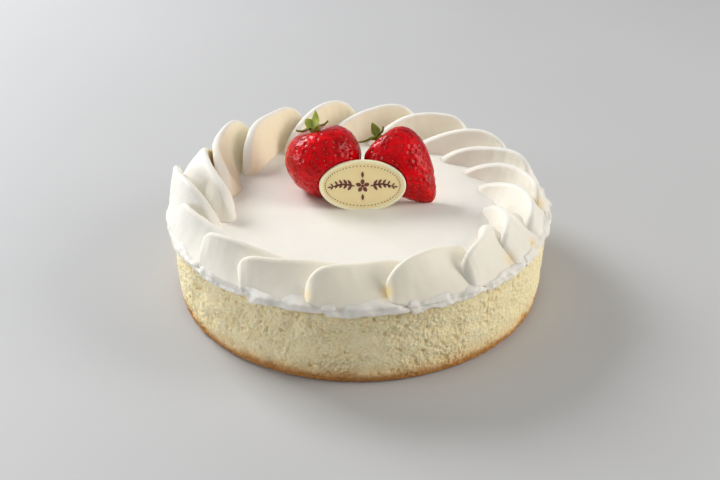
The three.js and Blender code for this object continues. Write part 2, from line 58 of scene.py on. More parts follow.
# %% [markdown]
# ## Meshes from grids of points
# Nearly every piece of this cake is a loft: a row of closed rings, such as the rings round the
# drum or the upright sections along a petal. Blender has a loft in its curve tools, but a grid of
# points gives more control, because each point can be moved by a formula before the faces are
# made. The helper below joins neighbouring rings with four-sided faces and closes both ends with
# a fan to a middle point, so that every mesh is watertight. All lengths are in millimetres until
# the last moment, when the mesh is made in metres.

# %% Loft and piece helpers
def loft(rings, first=None, last=None):
    """Points and faces of a closed loft. `rings` is an array of shape (rows, columns, 3)."""
    rows, columns, _ = rings.shape
    points = rings.reshape(-1, 3)
    first = rings[0].mean(axis=0) if first is None else np.asarray(first, float)
    last = rings[-1].mean(axis=0) if last is None else np.asarray(last, float)
    step = np.arange(columns)
    ahead = (step + 1) % columns
    faces = []
    for row in range(rows - 1):
        low, high = row * columns, (row + 1) * columns
        quads = np.stack([low + step, low + ahead, high + ahead, high + step], axis=1)
        faces.extend(quads.tolist())
    start, end = len(points), len(points) + 1
    top = (rows - 1) * columns
    faces.extend([start, int(b), int(a)] for a, b in zip(step, ahead))
    faces.extend([end, int(top + a), int(top + b)] for a, b in zip(step, ahead))
    return np.vstack([points, first, last]), faces


def joined(parts):
    """One list of points and one of faces from several closed shapes."""
    points, faces, count = [], [], 0
    for part_points, part_faces in parts:
        faces.extend([[corner + count for corner in face] for face in part_faces])
        points.append(part_points)
        count += len(part_points)
    return np.vstack(points), faces


def new_object(name, points, faces, finishes, smooth=True):
    """A mesh object from points in millimetres, with its faces turned outward."""
    mesh = bpy.data.meshes.new(name)
    mesh.from_pydata((np.asarray(points) * MM).tolist(), [], faces)
    work = bmesh.new()
    work.from_mesh(mesh)
    bmesh.ops.recalc_face_normals(work, faces=work.faces)
    for face in work.faces:
        face.smooth = smooth
    work.to_mesh(mesh)
    work.free()
    piece = bpy.data.objects.new(name, mesh)
    bpy.context.scene.collection.objects.link(piece)
    for finish in finishes:
        mesh.materials.append(finish)
    return piece


def settle(piece, slot, *nodes):
    """Puts a finished piece on the cake: its body and the solids it stands for. `slot` is not used."""
    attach(piece, "root")
    if nodes:
        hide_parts(*nodes)
    triangles = sum(len(face.vertices) - 2 for face in piece.data.polygons)
    print(f"{piece.name}: {triangles} triangles")


def store(piece, name, values):
    """Keeps one number per point on the mesh, for a material to read."""
    layer = piece.data.attributes.new(name, "FLOAT", "POINT")
    layer.data.foreach_set("value", np.asarray(values, np.float32))


def bumps(points, size, seed=0.0):
    """Smooth noise from about -1 to 1 at each point. `size` is the width of a lump in mm."""
    shift = Vector((seed * 7.31, seed * 3.17, seed * 5.77))
    return np.array([noise.noise(Vector(p) / size + shift) for p in points])


def smoothstep(value):
    inside = np.clip(value, 0, 1)
    return inside * inside * (3 - 2 * inside)


def turned(radius, angle, level):
    """Points at a distance from the cake's axis, an angle round it and a level above its foot."""
    radius, angle, level = np.broadcast_arrays(radius, angle, level)
    return np.stack([radius * np.cos(angle), radius * np.sin(angle), level], axis=-1)


# %% [markdown]
# ## Finishes
# Food looks alive when light goes a little way into it, so most finishes here use subsurface
# scattering. It could be faked with a warm emission, but that would glow in the shade too. Two
# effects serve several finishes and are made once as node groups: `mottle` blends two colours in
# soft patches, and `grain` gives the small heights that a Bump node turns into a rough touch.

# %% Node helpers and the two shared groups
def new_group(name, inputs, outputs):
    group = bpy.data.node_groups.new(name, "ShaderNodeTree")
    for label, kind, value in inputs:
        socket = group.interface.new_socket(label, in_out="INPUT", socket_type=kind)
        socket.default_value = value
    for label, kind in outputs:
        group.interface.new_socket(label, in_out="OUTPUT", socket_type=kind)
    return group, group.nodes.new("NodeGroupInput"), group.nodes.new("NodeGroupOutput")


def math_node(tree, operation, first, second=None):
    node = tree.nodes.new("ShaderNodeMath")
    node.operation = operation
    for index, value in enumerate((first, second)):
        if value is None:
            continue
        if isinstance(value, (int, float)):
            node.inputs[index].default_value = value
        else:
            tree.links.new(value, node.inputs[index])
    return node.outputs[0]


def make_mottle():
    """Two colours in soft patches, for anything baked, whipped or grown."""
    group, given, result = new_group(
        "mottle",
        [("Scale", "NodeSocketFloat", 100.0), ("Contrast", "NodeSocketFloat", 1.5),
         ("Low", "NodeSocketColor", (0, 0, 0, 1)), ("High", "NodeSocketColor", (1, 1, 1, 1))],
        [("Color", "NodeSocketColor")])
    place = group.nodes.new("ShaderNodeTexCoord")
    patches = group.nodes.new("ShaderNodeTexNoise")
    patches.inputs["Detail"].default_value = 4.0
    group.links.new(place.outputs["Object"], patches.inputs["Vector"])
    group.links.new(given.outputs["Scale"], patches.inputs["Scale"])
    centred = math_node(group, "SUBTRACT", patches.outputs["Fac"], 0.5)
    spread = math_node(group, "MULTIPLY", centred, given.outputs["Contrast"])
    mask = math_node(group, "ADD", spread, 0.5)
    blend = group.nodes.new("ShaderNodeMix")
    blend.data_type = "RGBA"
    group.links.new(mask, blend.inputs["Factor"])
    group.links.new(given.outputs["Low"], blend.inputs["A"])
    group.links.new(given.outputs["High"], blend.inputs["B"])
    group.links.new(blend.outputs["Result"], result.inputs["Color"])
    return group


def make_grain():
    """Small heights: soft lumps plus round pores, each with its own scale and amount."""
    group, given, result = new_group(
        "grain",
        [("Lump scale", "NodeSocketFloat", 300.0), ("Lumps", "NodeSocketFloat", 1.0),
         ("Pore scale", "NodeSocketFloat", 900.0), ("Pores", "NodeSocketFloat", 0.5)],
        [("Height", "NodeSocketFloat")])
    place = group.nodes.new("ShaderNodeTexCoord")
    lumps = group.nodes.new("ShaderNodeTexNoise")
    lumps.inputs["Detail"].default_value = 3.0
    pores = group.nodes.new("ShaderNodeTexVoronoi")
    for texture, scale in ((lumps, "Lump scale"), (pores, "Pore scale")):
        group.links.new(place.outputs["Object"], texture.inputs["Vector"])
        group.links.new(given.outputs[scale], texture.inputs["Scale"])
    raised = math_node(group, "MULTIPLY", lumps.outputs["Fac"], given.outputs["Lumps"])
    sunk = math_node(group, "MULTIPLY", pores.outputs["Distance"], given.outputs["Pores"])
    group.links.new(math_node(group, "ADD", raised, sunk), result.inputs["Height"])
    return group


MOTTLE = make_mottle()
GRAIN = make_grain()
print("node groups:", [group.name for group in bpy.data.node_groups])

# %% [markdown]
# A finish starts as a plain Principled shader whose steady numbers sit on its own sockets. The
# helpers add a mottled colour and a grain to it, and a finish may then mix in more colours by
# masks, such as the browning at the foot of the cake.

# %% Finish helpers
def new_finish(name, **sockets):
    finish = bpy.data.materials.new(name)
    finish.use_nodes = True
    shader = finish.node_tree.nodes["Principled BSDF"]
    for label, value in sockets.items():
        shader.inputs[label.replace("_", " ")].default_value = value
    return finish, finish.node_tree, shader


def add_mottle(tree, scale, contrast, low, high):
    node = tree.nodes.new("ShaderNodeGroup")
    node.node_tree = MOTTLE
    node.inputs["Scale"].default_value = scale
    node.inputs["Contrast"].default_value = contrast
    node.inputs["Low"].default_value = (*low, 1)
    node.inputs["High"].default_value = (*high, 1)
    return node.outputs["Color"]


def add_grain(tree, shader, depth_mm, strength, **amounts):
    node = tree.nodes.new("ShaderNodeGroup")
    node.node_tree = GRAIN
    for label, value in amounts.items():
        node.inputs[label.replace("_", " ")].default_value = value
    bump = tree.nodes.new("ShaderNodeBump")
    bump.inputs["Strength"].default_value = strength
    bump.inputs["Distance"].default_value = depth_mm * MM
    tree.links.new(node.outputs["Height"], bump.inputs["Height"])
    tree.links.new(bump.outputs["Normal"], shader.inputs["Normal"])


def add_blend(tree, mask, below, above):
    """Mixes two colours by a mask. A colour is a socket or three numbers."""
    blend = tree.nodes.new("ShaderNodeMix")
    blend.data_type = "RGBA"
    tree.links.new(mask, blend.inputs["Factor"])
    for label, colour in (("A", below), ("B", above)):
        if isinstance(colour, tuple):
            blend.inputs[label].default_value = (*colour, 1)
        else:
            tree.links.new(colour, blend.inputs[label])
    return blend.outputs["Result"]


def stored(tree, name):
    node = tree.nodes.new("ShaderNodeAttribute")
    node.attribute_name = name
    return node.outputs["Fac"]


# %% [markdown]
# Whipped cream is nearly white, satin, and light travels a little way through it. Two stored
# numbers change its colour, and both paint light into it: one paints a beige glow on the petals'
# inner faces, for light that comes through from behind and turns beige, and one paints a golden
# glow into the creases, partly painted warm shade and partly the golden cake under thin cream. The
# scatter is slightly longer in blue than in red, which is the wrong way round for cream, but where
# two pieces cross it leaves a warmer line instead of a bluish one.

# %% Cream finish
def cream_finish():
    finish, tree, shader = new_finish(
        "whipped_cream", Roughness=0.45, Subsurface_Weight=0.4, Subsurface_Scale=0.0016,
        Subsurface_Radius=(0.75, 0.9, 1.0), IOR=1.38, Specular_IOR_Level=0.3)
    tone = add_mottle(tree, 70.0, 1.2, (0.85, 0.82, 0.745), (0.89, 0.865, 0.80))
    # Painted light: a beige glow on the petals' inner faces, for light shining through the cream.
    colour = add_blend(tree, stored(tree, "painted_backlight"), tone, (0.95, 0.85, 0.62))
    # Painted light: a golden glow in the creases, partly warm crease shade and partly the cake under thin
    # cream.
    colour = add_blend(tree, stored(tree, "painted_crease_glow"), colour, (0.95, 0.68, 0.20))
    tree.links.new(colour, shader.inputs["Base Color"])
    add_grain(tree, shader, 0.12, 0.5, Lump_scale=420.0, Lumps=1.0, Pore_scale=1500.0, Pores=0.25)
    return finish


CREAM = cream_finish()

# %% [markdown]
# The side of the cake is pale baked curd: light yellow lumps and pits, and the pits are painted a
# darker gold as painted shade. The stored number `pit` says how deep a point lies, and two masks
# made from the height above the foot add the browned edge below and the golden skin just under the
# cream.

# %% Crumb finish
BROWNED_EDGE = 3.4
SKIN_FROM = 39.5


def height_mask(tree, start_mm, full_mm, wobble_mm):
    """0 at `start_mm` above the foot and 1 at `full_mm`, with a wandering border."""
    place = tree.nodes.new("ShaderNodeTexCoord")
    split = tree.nodes.new("ShaderNodeSeparateXYZ")
    tree.links.new(place.outputs["Object"], split.inputs["Vector"])
    wander = tree.nodes.new("ShaderNodeTexNoise")
    wander.inputs["Scale"].default_value = 110.0
    wander.inputs["Detail"].default_value = 5.0
    tree.links.new(place.outputs["Object"], wander.inputs["Vector"])
    swing = math_node(tree, "MULTIPLY", math_node(tree, "SUBTRACT", wander.outputs["Fac"], 0.5),
                      2 * wobble_mm * MM)
    level = math_node(tree, "ADD", split.outputs["Z"], swing)
    span = tree.nodes.new("ShaderNodeMapRange")
    span.inputs["From Min"].default_value = start_mm * MM
    span.inputs["From Max"].default_value = full_mm * MM
    tree.links.new(level, span.inputs["Value"])
    return span.outputs["Result"]


def crumb_finish():
    finish, tree, shader = new_finish(
        "baked_crumb", Roughness=0.78, Subsurface_Weight=0.35, Subsurface_Scale=0.0025,
        Subsurface_Radius=(1.0, 0.7, 0.3), Specular_IOR_Level=0.25)
    tone = add_mottle(tree, 160.0, 1.6, (0.90, 0.77, 0.45), (0.95, 0.865, 0.60))
    # Painted shade: the deep points of the pits are coloured a darker gold.
    colour = add_blend(tree, stored(tree, "pit"), tone, (0.82, 0.63, 0.31))
    skin = math_node(tree, "MULTIPLY", height_mask(tree, SKIN_FROM, 42.5, 1.6), 0.75)
    colour = add_blend(tree, skin, colour, (0.74, 0.50, 0.16))
    toast = height_mask(tree, 3.7 * BROWNED_EDGE, 3.6, 4.0)
    colour = add_blend(tree, math_node(tree, "MULTIPLY", toast, 0.7), colour, (0.72, 0.43, 0.15))
    crust = math_node(tree, "MULTIPLY", height_mask(tree, 2.0 * BROWNED_EDGE, 3.0, 2.8), 0.95)
    colour = add_blend(tree, crust, colour, (0.46, 0.20, 0.05))
    tree.links.new(colour, shader.inputs["Base Color"])
    add_grain(tree, shader, 0.35, 0.8, Lump_scale=700.0, Lumps=1.0, Pore_scale=900.0, Pores=0.9)
    return finish


CRUMB = crumb_finish()

# %% [markdown]
# ## The cake body
# The drum is a surface turned round an axis, so the Screw modifier could make it from a profile.
# A grid of points is used instead, because the side is far from round: it has lumps of curd, torn
# pits and a few wide dents, which all push points in and out. The wide dents are where the plain
# solid has them, because both use the same rule for random numbers.

# %% Repeatable random numbers, as the plain solid draws them
def random_source(seed):
    state = seed

    def draw():
        nonlocal state
        state = (state + 0x6D2B79F5) & 0xFFFFFFFF
        mixed = ((state ^ (state >> 15)) * (state | 1)) & 0xFFFFFFFF
        mixed = (mixed ^ (mixed + (((mixed ^ (mixed >> 7)) * (mixed | 61)) & 0xFFFFFFFF))) & 0xFFFFFFFF
        return ((mixed ^ (mixed >> 14)) & 0xFFFFFFFF) / 4294967296

    return draw


def ring_noise(seed, columns, rows):
    """Smooth noise that closes round the cake, as a function of turn and height (0 to 1)."""
    draw = random_source(seed)
    values = np.array([draw() * 2 - 1 for _ in range(columns * rows)]).reshape(rows, columns)

    def read(turn, height=0.0):
        u = np.mod(turn, 1.0) * columns
        v = np.clip(height, 0, 0.9999) * (rows - 1)
        column = np.floor(u).astype(int) % columns
        row = np.floor(v).astype(int)
        above = np.minimum(row + 1, rows - 1)
        ahead = (column + 1) % columns
        su, sv = smoothstep(u - np.floor(u)), smoothstep(v - row)
        low = values[row, column] * (1 - su) + values[row, ahead] * su
        high = values[above, column] * (1 - su) + values[above, ahead] * su
        return low * (1 - sv) + high * sv

    return read


# %% The side's profile and its wide dents
CAKE_RADIUS = 101.5
CAKE_HEIGHT = 44.0
SIDE_PROFILE = [
    (0, 99.2), (1.3, 100.6), (4.4, 101.2), (8.4, 101.3), (16.6, 101.5), (25.0, 101.7),
    (33.4, 101.9), (40.6, 101.5), (42.8, 100.7), (44.0, 98.9)]
CRAG_NOISE = ring_noise(11, 56, 10)
WAVE_NOISE = ring_noise(12, 9, 4)
DENT_COUNT = 34


def side_dents():
    draw = random_source(21)
    return [(draw(), 6 + 29 * draw(), 3.2 + 2.6 * draw(), 0.7 + 1.1 * draw())
            for _ in range(DENT_COUNT)]


def dent_depth(turn, height):
    depth = np.zeros_like(turn)
    for dent_turn, dent_height, width, deep in side_dents():
        along = np.abs(turn - dent_turn)
        along = np.minimum(along, 1 - along) * FULL_TURN * CAKE_RADIUS
        depth += deep * np.exp(-(along ** 2 + (height - dent_height) ** 2) / width ** 2)
    return depth


# %% Curd relief on the side
# Blender's noise_vector moves its places by random shifts, which come from the clock as long as no
# seed is set. The seed makes the curd the same in every run.
SIDE_COLUMNS = 1000
SIDE_ROWS = 94
CURD_SEED = 7
noise.seed_set(CURD_SEED)


def curd_relief(points):
    """Height of the curd in mm: small clumps, torn patches and a few crumbly holes."""
    relief = np.empty(len(points))
    for index, point in enumerate(points):
        place = Vector(point)
        bent = place + noise.noise_vector(place / 1.9) * 1.3
        near, second = noise.voronoi(bent / 1.9)[0][:2]
        clumps = 0.75 * (0.5 - near) - 0.30 * max(0.0, 0.22 - (second - near)) / 0.22
        coarse = 0.38 * noise.noise(bent / 4.2)
        torn = smoothstep(0.55 + 0.95 * noise.noise(place / 15.0 + Vector((3.1, 8.2, 1.7))))
        rough = 0.45 + 1.05 * float(torn)
        hole = noise.noise(bent / 2.6 + Vector((9.0, 2.0, 5.0)))
        pit = 0.9 * smoothstep((hole - 0.42) / 0.25)
        relief[index] = rough * (clumps + coarse) - float(pit) * rough
    return relief


# %% Build the cake body
def cake_body():
    heights = np.linspace(0, 1, SIDE_ROWS)
    levels = np.array([point[0] for point in SIDE_PROFILE])
    radii = np.array([point[1] for point in SIDE_PROFILE])
    height = CAKE_HEIGHT * (0.5 * heights + 0.5 * smoothstep(heights))
    turn = np.arange(SIDE_COLUMNS) / SIDE_COLUMNS
    grid_turn, grid_height = np.meshgrid(turn, height)
    base = np.interp(grid_height, levels, radii)
    calm = np.clip((grid_height - 0.6) / 4, 0, 1) * np.clip((43.0 - grid_height) / 3, 0, 1)
    crags = 0.45 * CRAG_NOISE(grid_turn, grid_height / CAKE_HEIGHT)
    waves = 0.35 * WAVE_NOISE(grid_turn, grid_height / CAKE_HEIGHT)
    angle = grid_turn * FULL_TURN
    flat = turned(CAKE_RADIUS, angle, grid_height)
    relief = curd_relief(flat.reshape(-1, 3)).reshape(angle.shape)
    edge = np.clip(grid_height / 1.2, 0, 1) * np.clip((CAKE_HEIGHT - grid_height) / 1.5, 0, 1)
    radius = base + (crags - dent_depth(grid_turn, grid_height)) * calm + waves * (0.35 + 0.65 * calm)
    radius += relief * edge
    rings = turned(radius, angle, grid_height)
    inner = [rings[-1] * np.array([f, f, 1]) for f in (0.85, 0.5)]
    outer = [rings[0] * np.array([f, f, 1]) for f in (0.5, 0.9)]
    points, faces = loft(np.concatenate([outer, rings, inner]), (0, 0, 0), (0, 0, CAKE_HEIGHT))
    # How deep each point lies in a pit, which the finish paints darker as painted shade.
    depth = np.clip((0.05 - relief) / 1.3, 0, 1) * 0.9
    blank = np.zeros((2, SIDE_COLUMNS))
    painted_pit_shade = np.concatenate([blank, depth, blank]).reshape(-1)
    piece = new_object("cake_body", points, faces, [CRUMB])
    store(piece, "pit", np.append(painted_pit_shade, [0, 0]))
    settle(piece, "sponge", "cheesecake")


cake_body()

# %% [markdown]
# ## The piped petals
# Each petal was piped with a flat petal tip: it starts with a tall round head on the rim, runs
# inward along a curve, and sinks to a low tail, while the next petal's head lies over its side. It
# is lofted from upright sections that stand across that curve. A section is thick at the foot
# and thin at the top, its inner face stands nearly upright, and its outer face runs down to the
# rim. The numbers of the eighteen petals differ a little, because a hand piped them, and the
# values that most of them share are written once.

# %% The petals' numbers
CREAM_TOP = 47.0
PETAL_RIM = 103.4
PETAL_LENGTH = 55.0
PETAL_TOP_THICKNESS = 2.6
USUAL_PETAL = {"sweep": 38, "rim": 98, "tail": 70, "height": 15, "lean": 3, "lean_tail": 3,
               "foot": 16, "bend": 1.25, "crest": 0.27, "blunt": 1.8, "curl": 1,
               "hollow": 1.5, "free": 0.95, "ruffle": 0.15, "undercut": 0}
PETALS = [{**USUAL_PETAL, **own} for own in (
    {"start": 173, "sweep": 33, "rim": 99, "tail": 80, "height": 23, "lean": -8, "lean_tail": 0,
     "foot": 12, "blunt": 2.6, "curl": 2},
    {"start": 157, "sweep": 41, "rim": 95, "height": 23, "lean": 4, "foot": 14, "bend": 1.1,
     "blunt": 4, "curl": 9, "hollow": 1.0, "free": 0.8},
    {"start": 134, "sweep": 42, "rim": 94, "tail": 71, "height": 23.5, "lean": 2, "lean_tail": -6,
     "foot": 24, "bend": 1.9, "blunt": 4, "curl": 4, "hollow": 3.5, "free": 0.7},
    {"start": 111, "sweep": 43, "rim": 94, "tail": 71, "height": 23, "lean": 0, "lean_tail": -2,
     "foot": 18, "blunt": 3.2, "curl": 3, "hollow": 3, "free": 0.7},
    {"start": 90, "sweep": 37, "rim": 95, "tail": 71, "height": 22, "blunt": 2.2, "hollow": 2},
    {"start": 66, "sweep": 42, "rim": 95, "height": 20, "crest": 0.32},
    {"start": 45, "sweep": 40, "rim": 96, "height": 20, "crest": 0.3},
    {"start": 25, "rim": 97, "height": 17, "lean": 2},
    {"start": 8, "tail": 69, "height": 15.5, "lean": 0, "foot": 15, "ruffle": 0.2},
    {"start": 351, "rim": 98.5, "tail": 69, "lean": 0, "foot": 15, "ruffle": 0.22},
    {"start": 334, "rim": 96, "tail": 69, "lean": -12, "ruffle": 0.22},
    {"start": 317, "sweep": 34, "rim": 96, "tail": 69, "lean": 4, "lean_tail": 5, "foot": 15,
     "ruffle": 0.25},
    {"start": 300, "sweep": 34, "tail": 72, "height": 17, "lean": 6, "lean_tail": 5, "foot": 13,
     "ruffle": 0.25},
    {"start": 277, "sweep": 37, "rim": 97, "tail": 73, "height": 18, "lean": 8, "lean_tail": 5,
     "foot": 13, "ruffle": 0.15},
    {"start": 254.5, "sweep": 35, "height": 15.5, "lean": 6, "lean_tail": 5, "foot": 12, "crest": 0.23},
    {"start": 232, "sweep": 36, "height": 14, "lean": 6, "lean_tail": 5, "foot": 12, "crest": 0.21,
     "undercut": 5},
    {"start": 215, "sweep": 34, "tail": 74, "height": 16, "lean": 8, "lean_tail": 5, "foot": 12,
     "crest": 0.17, "undercut": 6},
    {"start": 193, "sweep": 35, "tail": 76, "lean": 2, "lean_tail": 5, "foot": 14, "crest": 0.2,
     "undercut": 5},
)]

# %% Petal formulas
PETAL_STATIONS = 110
PETAL_LEVELS = 26
CURL_LENGTH = 0.24
UNDERCUT_LENGTH = 0.4
OUTER_FOOT = 14.0
HEAD_ROUNDING = 3.5
TAIL_ROUNDING = 6.0
THINNEST = 0.05
FOOT_SINK = 2.0
HEAD_LIFT = 2.4
HEAD_LIFT_LENGTH = 0.17
LEAST_HEIGHT = 0.12


def round_end(distance):
    return np.sqrt(1 - (1 - np.clip(distance, 0, 1)) ** 2)


def petal_plan(petal, along):
    angle = np.radians(petal["start"] + petal["sweep"] * along)
    radius = petal["rim"] + (petal["tail"] - petal["rim"]) * along ** petal["bend"]
    radius = radius - petal["curl"] * np.clip(1 - along / CURL_LENGTH, 0, 1) ** 2
    return np.stack([radius * np.cos(angle), radius * np.sin(angle)], axis=-1)


def petal_height(petal, along):
    crest = petal["crest"]
    head = (1 - np.clip(1 - along / crest, 0, 1) ** 2.4) ** (1 / 2.4)
    blunt = petal["blunt"]
    fall = (1 - (np.clip(along - crest, 0, 1) / (1 - crest)) ** blunt) ** (1 - 0.1 * blunt)
    return petal["height"] * np.maximum(np.where(along < crest, head, fall), LEAST_HEIGHT)


TUCK = ((-3.0, -0.9), (-1.3, -0.75), (-0.5, -0.45), (-0.12, -0.15))


def tucked(foot):
    """Rows that round the outer face's lower edge and take it in under the petal."""
    outward = foot[:, :2] / np.linalg.norm(foot[:, :2], axis=1)[:, None]
    return np.stack([foot + np.column_stack([out * outward, np.full(len(foot), down)])
                     for out, down in TUCK], axis=1)


def per_station(values):
    """Turns one number per station into a column, to meet a row with one number per level."""
    return values[:, None]


def petal_path(petal, along):
    """The middle line of a petal in plan, its direction of travel and the way out across it."""
    step = 1e-4
    ahead, behind = np.minimum(1, along + step), np.maximum(0, along - step)
    travel = petal_plan(petal, ahead) - petal_plan(petal, behind)
    travel /= per_station(np.linalg.norm(travel, axis=1))
    return petal_plan(petal, along), travel, np.stack([travel[:, 1], -travel[:, 0]], axis=1)


def petal_halves(petal, along, centre, height, up):
    """How far the inner and the outer face stand from the middle line, at each level."""
    head_end = round_end(along * PETAL_LENGTH / HEAD_ROUNDING)
    tail_end = round_end((1 - along) * PETAL_LENGTH / TAIL_ROUNDING)
    ends = np.maximum(head_end * tail_end, THINNEST)
    fade = smoothstep((petal["free"] - along) / 0.4)
    flare = (PETAL_RIM - np.linalg.norm(centre, axis=1)) * 1.12 * fade
    low_part = ends * (0.62 + 0.38 * height / petal["height"])
    foot_half = 0.5 * petal["foot"] * low_part
    spread = np.maximum(0.5 * OUTER_FOOT * low_part, flare * head_end)
    top_half = 0.5 * PETAL_TOP_THICKNESS * ends * (1 + 1.4 * along ** 2)
    cap_start = np.clip(1 - 0.5 * PETAL_TOP_THICKNESS / height, 0, 1)
    inside = np.clip((up - per_station(cap_start)) / per_station(1 - cap_start), 0, 1)
    cap = np.sqrt(1 - inside ** 2)
    inner = (per_station(top_half) + per_station(foot_half - top_half) * (1 - up) ** 1.1) * cap
    outer = (per_station(top_half) + per_station(spread - top_half) * (1 - up) ** petal["hollow"]) * cap
    outer = outer + per_station(0.05 * height * head_end * fade) * np.sin(np.pi * up ** 0.8)
    return inner, outer


def petal_rings(petal, seed):
    """The closed upright sections of one petal, as an array (stations, points, 3)."""
    even = np.linspace(0, 1, PETAL_STATIONS)
    along = 0.5 * (0.5 - 0.5 * np.cos(np.pi * even)) + 0.5 * even ** 1.2
    up = 1 - (1 - np.linspace(0, 1, PETAL_LEVELS)) ** 1.6
    centre, travel, out = petal_path(petal, along)
    height = petal_height(petal, along) * (1 + 0.035 * np.sin(9 * along + 2.1 * seed))
    lean = petal["lean"] + (petal["lean_tail"] - petal["lean"]) * along
    tilt = per_station(np.radians(lean))
    inner, outer = petal_halves(petal, along, centre, height, up)
    bulge = 0.04 * per_station(height) * np.sin(np.pi * up)
    inward = per_station(height) * up * np.sin(tilt) - bulge
    lift = per_station(HEAD_LIFT * (1 - smoothstep(along / HEAD_LIFT_LENGTH)))
    level = CREAM_TOP + per_station(height) * up * np.cos(tilt) - (FOOT_SINK - lift) * (1 - up)
    undercut = petal["undercut"] * np.clip(1 - along / UNDERCUT_LENGTH, 0, 1) ** 2
    sides = []
    for side, half in ((1, outer), (-1, inner[:, ::-1])):
        turn_in = inward if side > 0 else inward[:, ::-1]
        rise = level if side > 0 else level[:, ::-1]
        shift = -turn_in + side * half * np.cos(tilt)
        retreat = per_station(undercut) * (1 - (up if side > 0 else up[::-1])) ** 1.3
        place = centre[:, None, :] + out[:, None, :] * shift[:, :, None]
        place = place + travel[:, None, :] * retreat[:, :, None]
        z = rise + side * half * np.sin(tilt)
        sides.append(np.concatenate([place, z[:, :, None]], axis=2))
    sides.insert(0, tucked(sides[0][:, 0]))
    return np.concatenate([sides[0], sides[1], sides[2][:, 1:]], axis=1), out


# %% [markdown]
# ## The cream layer
# The cream on top is spread flat with a palette knife, and what was pushed over the edge with each
# petal hangs there as a torn sheet. One sheet could go all the way round, but in the photo every
# petal has its own: it starts just past the petal's head, hangs lowest there, and ends under the
# next head, where the golden cake shows in the gap. So the layer is a calm disc with a short rim,
# and eighteen closed sheets with clots on them are joined to it.

# %% The layer's rim and the sheets that hang from it
SKIRT_NOISE = ring_noise(31, 42, 2)
SKIRT_SWELL = ring_noise(32, 16, 2)
CREAM_COLUMNS = 480
SECTION_STEPS = 30
SHEET_STATIONS = 84
SHEET_STEPS = 44
SHEET_LATE = 5.0
SHEET_OVERLAP = 1.16
SHEET_HANG = 4.0
SHEET_LEVEL = 45.0
SHEET_CLIMB = 3.6
SHEET_START_ROUNDING = 2.2
SHEET_END_ROUNDING = 7.0
UNDERSIDE = 44.1


def rounded(corners, steps):
    """A smooth line through the middle of the given corners, for a soft section."""
    along = np.linspace(0, len(corners) - 1, steps)
    low = np.minimum(along.astype(int), len(corners) - 2)
    mix = (along - low)[:, None]
    line = corners[low] * (1 - mix) + corners[low + 1] * mix
    for _ in range(2):
        line[1:-1] = 0.25 * line[:-2] + 0.5 * line[1:-1] + 0.25 * line[2:]
    return line


def rim_section(edge, swell):
    """Corner points (radius, level) of the layer's rim, from under the disc to its top."""
    return np.array([
        (90.0, UNDERSIDE), (99.4, UNDERSIDE), (101.2, 44.0), (101.7, edge + 0.4), (102.2, edge),
        (102.7 + swell, edge + 0.3), (103.0 + swell, 45.3), (102.8 + 0.7 * swell, 46.4),
        (101.9 + 0.4 * swell, 47.0), (100.0, 47.1), (96.0, CREAM_TOP)])


# A sheet's section runs over the petal's face and then round the lip. SHEET_FACE gives how far a
# point stands out from the face and its share of the climb, SHEET_LIP its radius, its level and
# its share of the hang, and SHEET_MIDDLE the place that both ends of a sheet shrink to.
SHEET_MIDDLE = (101.6, 45.4)
SHEET_FACE = (
    (-2.2, 0.97), (-0.9, 1.0), (-0.1, 0.88), (0.25, 0.68), (0.4, 0.46), (0.45, 0.26), (0.45, 0.1))
SHEET_LIP = (
    (103.95, 45.2, 0.05), (104.25, 45.1, 0.3), (104.3, 45.0, 0.58), (104.1, 45.0, 0.82),
    (103.7, 45.0, 0.96), (103.1, 45.0, 1.0), (102.6, 45.0, 0.93), (102.2, 45.0, 0.75),
    (101.9, 45.0, 0.45), (101.6, 44.9, 0.1), (100.4, 44.8, 0.0), (98.6, 46.5, 0.0))


def face_radius(petal, azimuth, levels):
    """How far out the petal's outer face stands, at each azimuth and its levels."""
    rings, _ = petal_rings(petal, 0)
    face = rings[:, len(TUCK):len(TUCK) + PETAL_LEVELS]
    turn = np.degrees(np.arctan2(face[:, :, 1], face[:, :, 0])) - petal["start"]
    turn = np.maximum.accumulate(np.mod(turn + 90, 360) - 90, axis=0)
    reach = np.linalg.norm(face[:, :, :2], axis=2)
    rows = range(PETAL_LEVELS)
    reach = np.array([np.interp(azimuth, turn[:, row], reach[:, row]) for row in rows]).T
    height = np.array([np.interp(azimuth, turn[:, row], face[:, row, 2]) for row in rows]).T
    return np.array([np.interp(level, z, r) for level, z, r in zip(levels, height, reach)])


def clots(points):
    """Height in mm of the torn, clotted cream where it was pushed over the edge."""
    soft = 1.6 * bumps(points, 9.0, 3.0) + 0.35 * bumps(points, 3.8, 4.0) + 0.1 * bumps(points, 1.5, 8.0)
    return soft + 0.5 - 1.1 * np.abs(bumps(points, 6.0, 9.0))


def sheet_sections(index, petal, turn, around):
    """The sheet's section at each station: over the petal's lower face, round the lip and back."""
    climb = SHEET_CLIMB + 2.4 * bumps(around, 13.0, index + 83.0)
    levels = SHEET_LEVEL + climb[:, None] * np.array([share for _, share in SHEET_FACE])
    radii = face_radius(petal, turn, levels) + np.array([out for out, _ in SHEET_FACE])
    face = np.stack([radii, levels, 0 * levels], axis=2)
    return np.array([rounded(np.concatenate([rows, SHEET_LIP]), SHEET_STEPS) for rows in face])


